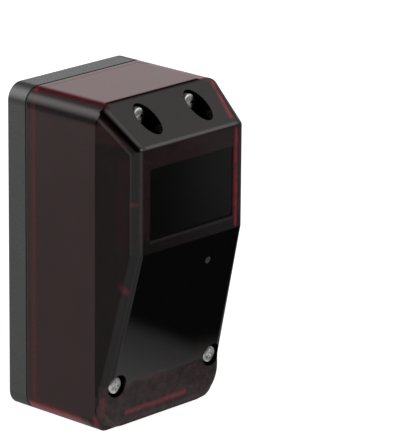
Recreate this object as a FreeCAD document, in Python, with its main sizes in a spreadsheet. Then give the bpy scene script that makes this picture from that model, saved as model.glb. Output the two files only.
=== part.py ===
"""Receiver unit of a through-beam photoelectric sensor set, as a parametric model in millimetres.

Depths are measured forward from the rear face, which lies against the wall, so a depth d is at y = -d in the
drawing of each piece. Every finished piece is then set back by half of the whole depth, which puts the origin
under the middle of the housing: X to the right, -Y out of the window, Z up.
"""
import FreeCAD, Part

import math
import os
import re

import Sketcher

SIZES = {
    # Housing outline, and depths from the rear face
    "housing_width": 61.0,
    "housing_height": 120.0,
    "corner_radius": 6.0,
    "least_round": 0.4,
    "base_depth": 8.5,
    "box_depth": 43.0,
    "strip_depth": 47.6,
    "nose_depth": 60.5,
    # Nose: heights of its edges, draft of its sides and sole, and the rounding of its edges
    "facet_foot": 106.9,
    "slope_top": 68.5,
    "slope_foot": 16.4,
    "nose_taper": 10.5,
    "sole_taper": 22.0,
    "nose_root": 6.0,
    "nose_round": 4.0,
    "foot_corner": 12.0,
    "edge_round": 2.0,
    "foot_blend": 8.0,
    "wall": 2.5,
    # Window field, as margins from the edges of the front face
    "window_side": 6.2,
    "window_over": 7.9,
    "window_under": 5.4,
    "window_recess": 0.4,
    "window_corner": 0.8,
    # Joint between base and cover
    "base_floor": 2.5,
    "tongue_gap": 0.25,
    "tongue_wall": 1.8,
    "tongue_depth": 13.0,
    "gasket_thickness": 0.9,
    "gasket_inset": 0.6,
    # Cover screws, their wells and the posts that they bite into
    "upper_screw_x": 12.75,
    "upper_screw_drop": 6.15,
    "lower_screw_inset": 6.3,
    "lower_screw_height": 17.6,
    "well_diameter": 8.6,
    "cup_wall": 1.5,
    "seat_wall": 3.0,
    "tube_diameter": 8.4,
    "tube_gap": 0.3,
    "screw_hole_diameter": 3.4,
    "head_diameter": 6.3,
    "head_height": 2.4,
    "head_sink": 0.5,
    "head_edge": 0.5,
    "head_slant": 1.5,
    "shank_diameter": 3.0,
    "screw_length": 40.0,
    "point_length": 2.0,
    "drive_depth": 1.3,
    "drive_width": 1.0,
    "drive_span": 3.4,
    "post_diameter": 6.6,
    "post_depth": 14.0,
    "thread_gap": 0.02,
    "pilot_spare": 0.5,
    # Wall fixing holes and cable entry in the base
    "wall_hole_drop": 9.0,
    "wall_hole_rise": 13.0,
    "wall_hole_diameter": 4.5,
    "wall_ring": 9.0,
    "wall_ring_rise": 1.2,
    "cable_height": 33.0,
    "cable_hole_diameter": 15.0,
    "cable_boss": 24.0,
    "cable_boss_rise": 1.5,
    "grommet_flange": 20.0,
    "grommet_lip": 1.2,
    "grommet_gap": 0.1,
    "grommet_nose": 3.0,
    "grommet_tip": 10.0,
    "cable_bore_diameter": 7.0,
    # Circuit board, its posts and its screws
    "board_seat": 15.0,
    "board_thickness": 1.6,
    "board_side": 3.0,
    "board_gap": 3.0,
    "board_inset": 4.0,
    "board_corner": 1.5,
    "board_hole_diameter": 2.4,
    "board_post": 6.0,
    "board_head": 4.0,
    "board_head_height": 1.5,
    "board_head_edge": 0.5,
    "board_shank": 2.0,
    "board_screw_length": 7.0,
    "slot_width": 0.6,
    "slot_depth": 0.6,
    # Light path behind the window
    "lens_diameter": 24.0,
    "lens_rim": 1.5,
    "lens_sag": 6.0,
    "lens_ledge": 1.0,
    "lens_gap": 0.1,
    "lens_shelter": 0.5,
    "holder_wall": 1.5,
    "holder_gap": 2.5,
    "holder_foot": 22.0,
    "holder_foot_rise": 2.0,
    "holder_throat": 7.0,
    "peg_diameter": 2.4,
    "peg_x": 8.0,
    "peg_gap": 0.1,
    "diode_diameter": 5.0,
    "diode_flange": 5.8,
    "diode_flange_rise": 1.0,
    "diode_height": 8.0,
    "dome_share": 0.45,
    # Indicator
    "pipe_x": 11.1,
    "pipe_drop": 9.9,
    "pipe_diameter": 2.6,
    "led_diameter": 3.0,
    "led_flange": 3.8,
    "led_flange_rise": 0.8,
    "led_height": 5.0,
    "led_gap": 0.4,
    # Terminal block at the foot of the board
    "terminal_pitch": 5.08,
    "terminal_rise": 2.0,
    "terminal_tall": 10.0,
    "terminal_height": 11.0,
    "terminal_edge": 0.6,
    "cage_width": 3.9,
    "cage_height": 6.0,
    "cage_length": 7.0,
    "cage_floor": 1.0,
    "cage_gap": 0.1,
    "wire_hole_diameter": 2.6,
    "clamp_head": 3.6,
    "clamp_head_height": 1.6,
    "clamp_head_edge": 0.3,
    "clamp_well_gap": 0.2,
    "clamp_shank": 2.4,
    "clamp_length": 4.0,
    # Parts soldered to the board; insets are from its nearer side, x from its middle and z from its lower edge
    "relay_inset": 9.0,
    "relay_z": 26.0,
    "relay_width": 15.5,
    "relay_tall": 19.0,
    "relay_height": 15.0,
    "relay_round": 0.8,
    "can_x": -0.5,
    "can_z": 25.5,
    "can_diameter": 8.0,
    "can_height": 12.0,
    "can_groove": 0.4,
    "can_round": 0.6,
    "regulator_inset": 5.0,
    "regulator_z": 33.0,
    "regulator_diameter": 4.8,
    "regulator_flat": 1.4,
    "regulator_height": 4.6,
    "regulator_lift": 2.5,
    "regulator_pitch": 1.27,
    "chip_inset": 8.0,
    "chip_z": 43.5,
    "chip_width": 6.4,
    "chip_tall": 9.8,
    "chip_height": 3.4,
    "chip_lift": 0.5,
    "chip_pitch": 2.54,
    "chip_row": 7.62,
    "leg_width": 1.2,
    "leg_thickness": 0.3,
    "leg_knee": 2.2,
    "diode_row_inset": 5.0,
    "diode_row_z": 19.5,
    "diode_pitch": 4.0,
    "rectifier_diameter": 2.7,
    "rectifier_length": 5.2,
    "rectifier_span": 9.0,
    "resistor_inset": 9.0,
    "resistor_z": 40.0,
    "resistor_pitch": 3.4,
    "resistor_diameter": 2.3,
    "resistor_length": 6.3,
    "resistor_span": 10.2,
    "lead_diameter": 0.7,
    "tinned_diameter": 0.9,
    "lead_lift": 0.3,
    "header_x": -2.0,
    "header_z": 39.0,
    "pin_pitch": 2.54,
    "pin_width": 0.64,
    "pin_height": 8.5,
    "header_height": 2.5,
    "header_width": 2.5,
    "jumper_roof": 0.6,
    "jumper_length": 4.9,
    "jumper_gap": 0.05,
}

TERMINAL_WAYS = 5
RECTIFIERS = 4
RESISTORS = 4
HEADER_PINS = 3
CHIP_LEGS_PER_SIDE = 4

# Places that several pieces share
HALF_WIDTH = "housing_width / 2"
COVER_REAR = "(base_depth + gasket_thickness)"
TONGUE_INSET = "(wall + tongue_gap)"
NOSE_ROOT = "(box_depth - nose_root)"
FACET_FALL = "((housing_height - facet_foot) / (nose_depth - box_depth))"
SLOPE_LEAN = "((nose_depth - strip_depth) / (slope_top - slope_foot))"
FRONT_HALF = "(housing_width / 2 - (nose_depth - box_depth) * tan(nose_taper))"
WINDOW_LOW = "(slope_top + window_under)"
WINDOW_HIGH = "(facet_foot - window_over)"
LIGHT_AXIS = f"(({WINDOW_LOW} + {WINDOW_HIGH}) / 2)"
SEAT = "(strip_depth - head_sink - head_height)"
UPPER_Z = "(housing_height - upper_screw_drop)"
LOWER_X = "(housing_width / 2 - lower_screw_inset)"
COVER_SCREWS = {
    "upper_left": ("-upper_screw_x", UPPER_Z),
    "upper_right": ("upper_screw_x", UPPER_Z),
    "lower_left": (f"-{LOWER_X}", "lower_screw_height"),
    "lower_right": (LOWER_X, "lower_screw_height"),
}
BOARD_HALF = "(housing_width / 2 - wall - board_side)"
BOARD_LOW = "(lower_screw_height + tube_diameter / 2 + board_gap)"
BOARD_HIGH = f"({UPPER_Z} - tube_diameter / 2 - board_gap)"
BOARD_FRONT = "(board_seat + board_thickness)"
BOARD_SCREWS = {
    f"{row}_{side}": (f"{sign}({BOARD_HALF} - board_inset)", height)
    for row, height in (("low", f"({BOARD_LOW} + board_inset)"), ("high", f"({BOARD_HIGH} - board_inset)"))
    for side, sign in (("left", "-"), ("right", ""))
}
HOLDER_FRONT = "(nose_depth - wall - holder_gap)"
LENS_SEAT = f"({HOLDER_FRONT} - lens_shelter - lens_sag - lens_rim)"
PIPE_Z = "(slope_top - pipe_drop)"
TERMINAL_LOW = f"({BOARD_LOW} + terminal_rise)"
WELL_DEPTH = "(terminal_height - cage_floor - cage_height)"
FAR = "(nose_depth + housing_height)"

# Places closer than this are the same place
SAME = 1e-4
ACROSS = FreeCAD.Vector(1, 0, 0)

doc = FreeCAD.newDocument("through_beam_receiver")
sub_parts = []


def make_sheet():
    """Spreadsheet with one named cell for each driving size."""
    sheet = doc.addObject("Spreadsheet::Sheet", "size")
    for row, (alias, value) in enumerate(SIZES.items(), 1):
        sheet.set(f"A{row}", alias.replace("_", " "))
        sheet.set(f"B{row}", str(value))
        sheet.setAlias(f"B{row}", alias)
    doc.recompute()
    return sheet


def formula(text):
    """The text with each size's name made a reference to its cell."""
    return re.sub(r"[a-z_]+", lambda word: f"size.{word[0]}" if word[0] in SIZES else word[0], text)


def number(text):
    """Present value of a formula."""
    return float(sheet.evalExpression(formula(text)))


def bind(thing, **formulas):
    """Ties properties to formulas; a double underscore in a property's name stands for a dot."""
    for name, text in formulas.items():
        thing.setExpression(name.replace("__", "."), formula(text))
    return thing


def sub_part(thing, label):
    """Names a finished piece and sets it back so that the housing is centred on the origin."""
    thing.Label = label
    bind(thing, Placement__Base__y="nose_depth / 2")
    sub_parts.append(thing)
    return thing


# Drawing and features of a body

def new_body(name):
    """An empty body."""
    return doc.addObject("PartDesign::Body", name)


def sketch_on(body, name, plane, across="0", up="0", out="0"):
    """Sketch on an origin plane, its own origin moved across, up and out along the plane's normal."""
    sketch = body.newObject("Sketcher::SketchObject", name)
    support = next(item for item in body.Origin.OriginFeatures if item.Role == plane)
    sketch.AttachmentSupport = [(support, "")]
    sketch.MapMode = "FlatFace"
    moves = {"x": across, "y": up, "z": out}
    return bind(sketch, **{f"AttachmentOffset__Base__{axis}": text for axis, text in moves.items() if text != "0"})


def dimension(sketch, kind, element, point, text):
    """Signed distance of a point from the sketch's origin, tied to a formula."""
    value = number(text)
    ends = (element, point, -1, 1) if value < 0 else (-1, 1, element, point)
    index = sketch.addConstraint(Sketcher.Constraint(kind, *ends, abs(value)))
    sketch.setExpression(f"Constraints[{index}]", formula(f"-({text})" if value < 0 else text))


def draw_polygon(sketch, corners):
    """Closed run of straight lines through corners given as pairs of formulas."""
    spots = [FreeCAD.Vector(number(x), number(y), 0) for x, y in corners]
    first = sketch.GeometryCount
    count = len(corners)
    for index in range(count):
        sketch.addGeometry(Part.LineSegment(spots[index], spots[(index + 1) % count]))
    for index in range(count):
        following = first + (index + 1) % count
        sketch.addConstraint(Sketcher.Constraint("Coincident", first + index, 2, following, 1))
    for index, (x, y) in enumerate(corners):
        dimension(sketch, "DistanceX", first + index, 1, x)
        dimension(sketch, "DistanceY", first + index, 1, y)
    return sketch


def draw_circle(sketch, x, y, diameter):
    """Circle with its centre and diameter tied to formulas."""
    index = sketch.addGeometry(
        Part.Circle(FreeCAD.Vector(number(x), number(y), 0), FreeCAD.Vector(0, 0, 1), number(diameter) / 2)
    )
    dimension(sketch, "DistanceX", index, 3, x)
    dimension(sketch, "DistanceY", index, 3, y)
    size = sketch.addConstraint(Sketcher.Constraint("Diameter", index, number(diameter)))
    sketch.setExpression(f"Constraints[{size}]", formula(diameter))
    return sketch


def draw_rounded(sketch, left, right, low, high, radius):
    """Rectangle with rounded corners: four lines and four tangent arcs."""
    x0, x1, y0, y1, r = (number(text) for text in (left, right, low, high, radius))
    first = sketch.GeometryCount
    starts = [(x0 + r, y0), (x1, y0 + r), (x1 - r, y1), (x0, y1 - r)]
    ends = [(x1 - r, y0), (x1, y1 - r), (x0 + r, y1), (x0, y0 + r)]
    centres = [(x1 - r, y0 + r), (x1 - r, y1 - r), (x0 + r, y1 - r), (x0 + r, y0 + r)]
    for side in range(4):
        sketch.addGeometry(
            Part.LineSegment(FreeCAD.Vector(*starts[side], 0), FreeCAD.Vector(*ends[side], 0))
        )
        circle = Part.Circle(FreeCAD.Vector(*centres[side], 0), FreeCAD.Vector(0, 0, 1), r)
        sketch.addGeometry(Part.ArcOfCircle(circle, (side - 1) * math.pi / 2, side * math.pi / 2))
    for index in range(8):
        joint = Sketcher.Constraint("Tangent", first + index, 2, first + (index + 1) % 8, 1)
        sketch.addConstraint(joint)
    for side, kind in enumerate(("Horizontal", "Vertical", "Horizontal", "Vertical")):
        sketch.addConstraint(Sketcher.Constraint(kind, first + 2 * side))
    for side in range(1, 4):
        sketch.addConstraint(Sketcher.Constraint("Equal", first + 1, first + 2 * side + 1))
    size = sketch.addConstraint(Sketcher.Constraint("Radius", first + 1, r))
    sketch.setExpression(f"Constraints[{size}]", formula(radius))
    for kind, side, text in (
        ("DistanceY", 0, low), ("DistanceX", 1, right), ("DistanceY", 2, high), ("DistanceX", 3, left),
    ):
        dimension(sketch, kind, first + 2 * side, 1, text)
    return sketch


def draw_outline(sketch, inset):
    """The housing's outline, moved inwards by an inset."""
    return draw_rounded(
        sketch, f"-({HALF_WIDTH} - ({inset}))", f"{HALF_WIDTH} - ({inset})", inset, f"housing_height - ({inset})",
        f"max(corner_radius - ({inset}); least_round)",
    )


def feature(body, kind, sketch, **formulas):
    """Feature of a body made from one sketch."""
    doc.recompute()
    made = body.newObject(f"PartDesign::{kind}", f"{sketch.Name}_{kind.lower()}")
    made.Profile = sketch
    bind(made, **formulas)
    doc.recompute()
    return made


def pad(body, sketch, length):
    """Adds the sketch's area along its normal, which is forwards for a front view."""
    return feature(body, "Pad", sketch, Length=length)


def pocket(body, sketch, length):
    """Cuts the sketch's area against its normal, which is backwards for a front view."""
    before = body.Tip.Shape.Volume
    made = feature(body, "Pocket", sketch, Length=length)
    if not made.Shape.Volume < before:
        raise RuntimeError(f"{made.Name} cuts nothing")
    return made


def revolve(body, name, corners, x, z):
    """Solid turned about an axis along Y at (x, z); corners are pairs of depth and radius."""
    sketch = sketch_on(body, name, "YZ_Plane", up=z, out=x)
    draw_polygon(sketch, [(f"-({depth})", radius) for depth, radius in corners])
    doc.recompute()
    turned = body.newObject("PartDesign::Revolution", f"{name}_turned")
    turned.Profile = sketch
    turned.ReferenceAxis = (sketch, ["H_Axis"])
    turned.Angle = 360
    doc.recompute()
    return turned


def round_edges(body, name, radius, test):
    """Rounds each edge of a body's last feature that passes a test on the edge."""
    doc.recompute()
    base = body.Tip
    chosen = [f"Edge{index}" for index, edge in enumerate(base.Shape.Edges, 1) if test(edge)]
    rounded = body.newObject("PartDesign::Fillet", name)
    rounded.Base = (base, chosen)
    bind(rounded, Radius=radius)
    doc.recompute()
    return rounded


def runs_along(edge, axis):
    """True for a straight edge along an axis."""
    if edge.Curve.TypeId != "Part::GeomLine":
        return False
    return edge.tangentAt(edge.FirstParameter).cross(axis).Length < SAME


# Primitives and booleans

def block(name, x, depth, z, width, length, height):
    """Box from a lower left corner (x, z), between a depth and that depth plus its length."""
    box = doc.addObject("Part::Box", name)
    return bind(
        box, Length=width, Width=length, Height=height,
        Placement__Base__x=x, Placement__Base__y=f"-({depth}) - ({length})", Placement__Base__z=z,
    )


def rod(name, x, z, depth, length, diameter, axis="Y"):
    """Cylinder along Y (forwards from its depth), or along X or Z from the point given."""
    cylinder = doc.addObject("Part::Cylinder", name)
    turn = {"X": ((0, 1, 0), 90), "Y": ((1, 0, 0), 90), "Z": ((0, 0, 1), 0)}[axis]
    cylinder.Placement.Rotation = FreeCAD.Rotation(FreeCAD.Vector(*turn[0]), turn[1])
    return bind(
        cylinder, Radius=f"({diameter}) / 2", Height=length,
        Placement__Base__x=x, Placement__Base__y=f"-({depth})", Placement__Base__z=z,
    )


def cut(name, base, tool):
    """What is left of the base once the tool is taken away."""
    made = doc.addObject("Part::Cut", name)
    made.Base, made.Tool, made.Refine = base, tool, True
    return made


def common(name, base, tool):
    """What two solids share."""
    made = doc.addObject("Part::Common", name)
    made.Base, made.Tool, made.Refine = base, tool, True
    return made


def fuse(name, pieces):
    """Pieces joined into one solid, or gathered as one tool."""
    made = doc.addObject("Part::MultiFuse", name)
    made.Shapes, made.Refine = pieces, True
    return made


def group(name, pieces):
    """Separate solids that share a node."""
    made = doc.addObject("Part::Compound", name)
    made.Links = pieces
    return made


def at_places(make, places):
    """One copy for each named place, made by a function of the place's name, x and z."""
    return [make(name, x, z) for name, (x, z) in places.items()]


# Housing

def outline_prism(name, inset, depth, length):
    """Straight prism with the housing's outline."""
    body = new_body(name)
    pad(body, draw_outline(sketch_on(body, f"{name}_outline", "XZ_Plane", out=depth), inset), length)
    return body


def sole_height(depth, inset):
    """Height of the nose's sole at a depth: level with the housing's bottom at the box's front, then rising."""
    return f"(({inset}) / cos(sole_taper) + ({depth} - box_depth) * tan(sole_taper))"


def nose_block(name, inset):
    """Wedge of the nose, its root inside the box; an inset moves every face inwards by that much."""
    facet_drop = f"({inset}) * sqrt(1 + {FACET_FALL}^2)"
    slope_shift = f"({inset}) * sqrt(1 + {SLOPE_LEAN}^2)"
    front = f"(nose_depth - ({inset}))"
    strip = f"(strip_depth - ({inset}))"
    profile = [
        (NOSE_ROOT, sole_height(NOSE_ROOT, inset)),
        (NOSE_ROOT, f"housing_height + {FACET_FALL} * nose_root - {facet_drop}"),
        (front, f"housing_height - {FACET_FALL} * ({front} - box_depth) - {facet_drop}"),
        (front, f"slope_foot + ({front} - strip_depth + {slope_shift}) / {SLOPE_LEAN}"),
        (strip, f"slope_foot + ({strip} - strip_depth + {slope_shift}) / {SLOPE_LEAN}"),
        (strip, sole_height(strip, inset)),
    ]
    body = new_body(name)
    sketch = sketch_on(body, f"{name}_profile", "YZ_Plane")
    draw_polygon(sketch, [(f"-({depth})", height) for depth, height in profile])
    half = f"({HALF_WIDTH} - ({inset}) + nose_root * tan(nose_taper))"
    feature(body, "Pad", sketch, Length=f"2 * {half}").SideType = "Symmetric"
    reach = f"({front} - {NOSE_ROOT} + wall)"
    draft = sketch_on(body, f"{name}_draft", "XY_Plane", out="2 * housing_height")
    for sign in ("-", ""):
        draw_polygon(draft, [
            (f"{sign}{half}", f"-{NOSE_ROOT}"),
            (f"{sign}({half} - {reach} * tan(nose_taper))", f"-({NOSE_ROOT} + {reach})"),
            (f"{sign}({half} + wall)", f"-({NOSE_ROOT} + {reach})"),
            (f"{sign}({half} + wall)", f"-{NOSE_ROOT}"),
        ])
    pocket(body, draft, "3 * housing_height")
    return body


def round_cross_edges(body, name, radius, *spots):
    """Rounds the edges across a body that pass through spots given as pairs of depth and height."""
    targets = [(-number(depth), number(height)) for depth, height in spots]
    return round_edges(body, name, radius, lambda edge: runs_along(edge, ACROSS) and any(
        math.dist((edge.CenterOfMass.y, edge.CenterOfMass.z), target) < SAME for target in targets
    ))


def ends(edge):
    """First and last point of an edge."""
    return edge.valueAt(edge.FirstParameter), edge.valueAt(edge.LastParameter)


def on_sole(edge, inset):
    """True for an edge with both ends on the sole of a nose."""
    return all(abs(spot.z - number(sole_height(str(-spot.y), inset))) < SAME for spot in ends(edge))


def round_lower_corners(body, name, inset, radius):
    """Rounds the two edges along which the sides of a nose meet its sole."""
    return round_edges(body, name, radius, lambda edge: on_sole(edge, inset) and not runs_along(edge, ACROSS))


def round_nose(body):
    """Rounds the nose's lower corners and foot, then the chain of edges round its front, and last its brow."""
    half, step, root, strip = map(number, (HALF_WIDTH, "box_depth", NOSE_ROOT, "strip_depth"))
    foot = number("slope_foot")
    draft = math.tan(math.radians(number("nose_taper")))

    def bounds_front(edge):
        start, end = ends(edge)
        on_side = start.x * end.x > 0 and all(
            abs(abs(spot.x) - half + (-spot.y - step) * draft) < SAME for spot in (start, end))
        if all(abs(spot.y + strip) < SAME for spot in (start, end)):
            return on_side or on_sole(edge, "0") or edge.Curve.TypeId != "Part::GeomLine"
        on_root = all(abs(spot.y + root) < SAME for spot in (start, end))
        return on_side and not on_root and max(start.z, end.z) > foot

    round_lower_corners(body, "nose_corners", "0", "foot_corner")
    round_cross_edges(body, "nose_foot", "foot_blend", ("strip_depth", "slope_foot"))
    round_edges(body, "nose_edges", "nose_round", bounds_front)
    round_cross_edges(body, "nose_brow", "edge_round", ("nose_depth", "facet_foot"), ("nose_depth", "slope_top"))
    return body


def cover_form():
    """Outer form of the cover: a straight box with rounded corners, and the nose trimmed to the same outline."""
    box = outline_prism("cover_box", "0", COVER_REAR, f"box_depth - {COVER_REAR}")
    nose = round_nose(nose_block("nose", "0"))
    trim = outline_prism("nose_trim", "0", COVER_REAR, f"nose_depth - {COVER_REAR}")
    return fuse("cover_form", [box, common("nose_trimmed", nose, trim)])


def cover_hollow():
    """Space inside the cover, one wall smaller than its form and open to the rear."""
    box = outline_prism("hollow_box", "wall", COVER_REAR, f"box_depth - {COVER_REAR}")
    trim = outline_prism("hollow_trim", "wall", COVER_REAR, f"nose_depth - {COVER_REAR}")
    wedge = nose_block("hollow_wedge", "wall")
    round_lower_corners(wedge, "hollow_corners", "wall", "foot_corner - wall")
    return fuse("cover_hollow", [box, common("hollow_nose", wedge, trim)])


def window_tool():
    """Shallow rounded rectangle in front of the receiver's lens."""
    body = new_body("window_field")
    half = f"({FRONT_HALF} - window_side)"
    sketch = sketch_on(body, "window_outline", "XZ_Plane", out="nose_depth - window_recess")
    draw_rounded(sketch, f"-{half}", half, WINDOW_LOW, WINDOW_HIGH, "window_corner")
    pad(body, sketch, "wall")
    return body


def front_cover(form):
    """Cover: shell with four screw wells and tubes, the window field and the indicator's hole."""
    shell = cut("cover_shell", form, cover_hollow())
    cups = at_places(lambda name, x, z: rod(
        f"cup_{name}", x, z, f"{SEAT} - seat_wall", FAR, "well_diameter + 2 * cup_wall"), COVER_SCREWS)
    tubes = at_places(lambda name, x, z: rod(
        f"tube_{name}", x, z, "post_depth + tube_gap", f"{SEAT} - post_depth - tube_gap", "tube_diameter"),
        COVER_SCREWS)
    bosses = common("cover_bosses", fuse("boss_rods", cups + tubes), form)
    wells = at_places(lambda name, x, z: rod(f"well_{name}", x, z, SEAT, FAR, "well_diameter"), COVER_SCREWS)
    bores = at_places(lambda name, x, z: rod(f"bore_{name}", x, z, "0", FAR, "screw_hole_diameter"), COVER_SCREWS)
    pipe_bore = rod("pipe_bore", "pipe_x", PIPE_Z, "box_depth", FAR, "pipe_diameter")
    tools = fuse("cover_tools", [*wells, *bores, pipe_bore, window_tool()])
    sub_part(cut("cover", fuse("cover_blank", [shell, bosses]), tools), "front_cover")


def rear_base():
    """Base: shallow tray with a tongue that enters the cover, screw posts, board posts and openings."""
    body = new_body("base")
    inner = f"{TONGUE_INSET} + tongue_wall"
    pad(body, draw_outline(sketch_on(body, "base_outline", "XZ_Plane"), "0"), "base_depth")
    tray = draw_outline(sketch_on(body, "tray", "XZ_Plane", out="base_depth"), inner)
    pocket(body, tray, "base_depth - base_floor")
    tongue = draw_outline(sketch_on(body, "tongue", "XZ_Plane", out="base_depth"), TONGUE_INSET)
    pad(body, draw_outline(tongue, inner), "tongue_depth - base_depth")
    wall_holes = [("0", "housing_height - wall_hole_drop"), ("0", "wall_hole_rise")]
    raised = {
        "posts": (COVER_SCREWS.values(), "post_diameter", "post_depth - base_floor"),
        "board_posts": (BOARD_SCREWS.values(), "board_post", "board_seat - base_floor"),
        "wall_rings": (wall_holes, "wall_ring", "wall_ring_rise"),
        "cable_boss": ([("0", "cable_height")], "cable_boss", "cable_boss_rise"),
    }
    for name, (spots, diameter, rise) in raised.items():
        sketch = sketch_on(body, name, "XZ_Plane", out="base_floor")
        for x, z in spots:
            draw_circle(sketch, x, z, diameter)
        pad(body, sketch, rise)
    screw_reach = f"post_depth - {SEAT} + screw_length + pilot_spare"
    board_reach = "board_screw_length - board_thickness + pilot_spare"
    drilled = {
        "pilots": (COVER_SCREWS.values(), "shank_diameter + 2 * thread_gap", "post_depth", screw_reach),
        "board_pilots": (BOARD_SCREWS.values(), "board_shank + 2 * thread_gap", "board_seat", board_reach),
        "wall_holes": (wall_holes, "wall_hole_diameter", "base_depth", "base_depth"),
        "cable_opening": ([("0", "cable_height")], "cable_hole_diameter", "base_depth", "base_depth"),
        "grommet_seat": (
            [("0", "cable_height")], "grommet_flange + 2 * grommet_gap", "grommet_lip", "grommet_lip",
        ),
    }
    for name, (spots, diameter, start, depth) in drilled.items():
        sketch = sketch_on(body, name, "XZ_Plane", out=start)
        for x, z in spots:
            draw_circle(sketch, x, z, diameter)
        pocket(body, sketch, depth)
    sub_part(body, "rear_base")


def cover_gasket():
    """Flat ring on the base's shoulder, round the tongue, set back from the outside."""
    body = new_body("gasket")
    ring = draw_outline(sketch_on(body, "gasket_ring", "XZ_Plane", out="base_depth"), "gasket_inset")
    pad(body, draw_outline(ring, "wall"), "gasket_thickness")
    sub_part(body, "cover_gasket")


def cable_grommet():
    """Rubber bush, buttoned into the base's cable opening, with a tapered lip round the cable."""
    body = new_body("grommet")
    neck = "base_floor + cable_boss_rise"
    revolve(body, "grommet_half", [
        ("0", "cable_bore_diameter / 2"),
        ("0", "grommet_flange / 2"),
        ("grommet_lip", "grommet_flange / 2"),
        ("grommet_lip", "cable_hole_diameter / 2 - grommet_gap"),
        (neck, "cable_hole_diameter / 2 - grommet_gap"),
        (neck, "grommet_flange / 2"),
        (f"{neck} + grommet_lip", "grommet_flange / 2"),
        (f"{neck} + grommet_lip + grommet_nose", "grommet_tip / 2"),
        (f"{neck} + grommet_lip + grommet_nose", "cable_bore_diameter / 2"),
    ], "0", "cable_height")
    sub_part(body, "cable_grommet")


# Fasteners

def screw(name, x, z, seat, length, shank, head, height, edge, point):
    """Pan-head screw pointing to the rear, its head resting on a seat at the given depth."""
    body = new_body(name)
    revolve(body, f"{name}_half", [
        (f"{seat} - ({length})", "0"),
        (f"{seat} - ({length}) + {point}", f"{shank} / 2"),
        (seat, f"{shank} / 2"),
        (seat, f"{head} / 2"),
        (f"{seat} + {height} - {edge}", f"{head} / 2"),
        (f"{seat} + {height}", f"{head} / 2 - head_slant * {edge}"),
        (f"{seat} + {height}", "0"),
    ], x, z)
    return body


def drive(body, x, z, face, width, span, depth, cross):
    """Slot or cross recess in a screw's head, cut back from the face."""
    for turn, (across, up) in enumerate(((span, width), (width, span))[: 2 if cross else 1]):
        sketch = sketch_on(body, f"{body.Name}_drive_{turn}", "XZ_Plane", across=x, up=z, out=face)
        draw_polygon(sketch, [
            (f"-{across} / 2", f"-{up} / 2"), (f"{across} / 2", f"-{up} / 2"),
            (f"{across} / 2", f"{up} / 2"), (f"-{across} / 2", f"{up} / 2"),
        ])
        pocket(body, sketch, depth)
    return body


def cover_screws():
    """The four long screws that hold the cover."""
    def one(name, x, z):
        made = screw(f"cover_screw_{name}", x, z, SEAT, "screw_length", "shank_diameter", "head_diameter",
                     "head_height", "head_edge", "point_length")
        return drive(made, x, z, f"{SEAT} + head_height", "drive_width", "drive_span", "drive_depth", True)

    sub_part(group("cover_screw_set", at_places(one, COVER_SCREWS)), "cover_screws")


def board_screws():
    """Four small slotted screws that hold the board on its posts."""
    def one(name, x, z):
        made = screw(f"board_screw_{name}", x, z, BOARD_FRONT, "board_screw_length", "board_shank", "board_head",
                     "board_head_height", "board_head_edge", "board_shank / 2")
        face = f"{BOARD_FRONT} + board_head_height"
        return drive(made, x, z, face, "slot_width", "board_head", "slot_depth", False)

    sub_part(group("board_screw_set", at_places(one, BOARD_SCREWS)), "board_screws")


# Circuit board and the light path

def circuit_board():
    """Board with its screw holes and the holes for the lens holder's pegs."""
    body = new_body("board")
    outline = sketch_on(body, "board_outline", "XZ_Plane", out="board_seat")
    draw_rounded(outline, f"-{BOARD_HALF}", BOARD_HALF, BOARD_LOW, BOARD_HIGH, "board_corner")
    pad(body, outline, "board_thickness")
    holes = sketch_on(body, "board_holes", "XZ_Plane", out=BOARD_FRONT)
    for x, z in BOARD_SCREWS.values():
        draw_circle(holes, x, z, "board_hole_diameter")
    for x in ("-peg_x", "peg_x"):
        draw_circle(holes, x, LIGHT_AXIS, "peg_diameter + 2 * peg_gap")
    pocket(body, holes, "board_thickness")
    sub_part(body, "circuit_board")


def lens_holder():
    """Black cone that shades the diode, carries the lens in its mouth and stands on two pegs in the board."""
    body = new_body("holder")
    mouth = "lens_diameter / 2 + lens_gap"
    ledge = "lens_diameter / 2 - lens_ledge"
    foot = f"{BOARD_FRONT} + holder_foot_rise"
    revolve(body, "holder_half", [
        (BOARD_FRONT, "holder_throat / 2"),
        (BOARD_FRONT, "holder_foot / 2"),
        (foot, "holder_foot / 2"),
        (foot, "holder_throat / 2 + 2 * holder_wall"),
        (f"{LENS_SEAT} - holder_wall", f"{mouth} + holder_wall"),
        (HOLDER_FRONT, f"{mouth} + holder_wall"),
        (HOLDER_FRONT, mouth),
        (LENS_SEAT, mouth),
        (LENS_SEAT, ledge),
        (foot, "holder_throat / 2"),
    ], "0", LIGHT_AXIS)
    pegs = sketch_on(body, "holder_pegs", "XZ_Plane", out="board_seat")
    for x in ("-peg_x", "peg_x"):
        draw_circle(pegs, x, LIGHT_AXIS, "peg_diameter")
    pad(body, pegs, "board_thickness + holder_foot_rise / 2")
    sub_part(body, "lens_holder")


def lens():
    """Plano-convex lens, its flat back on the holder's ledge."""
    ball_radius = "((lens_diameter^2 / 4 + lens_sag^2) / (2 * lens_sag))"
    ball = doc.addObject("Part::Sphere", "lens_ball")
    bind(
        ball, Radius=ball_radius, Placement__Base__z=LIGHT_AXIS,
        Placement__Base__y=f"-({LENS_SEAT} + lens_rim + lens_sag - {ball_radius})",
    )
    blank = rod("lens_blank", "0", LIGHT_AXIS, LENS_SEAT, "lens_rim + lens_sag", "lens_diameter")
    sub_part(common("lens_solid", blank, ball), "lens")


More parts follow.
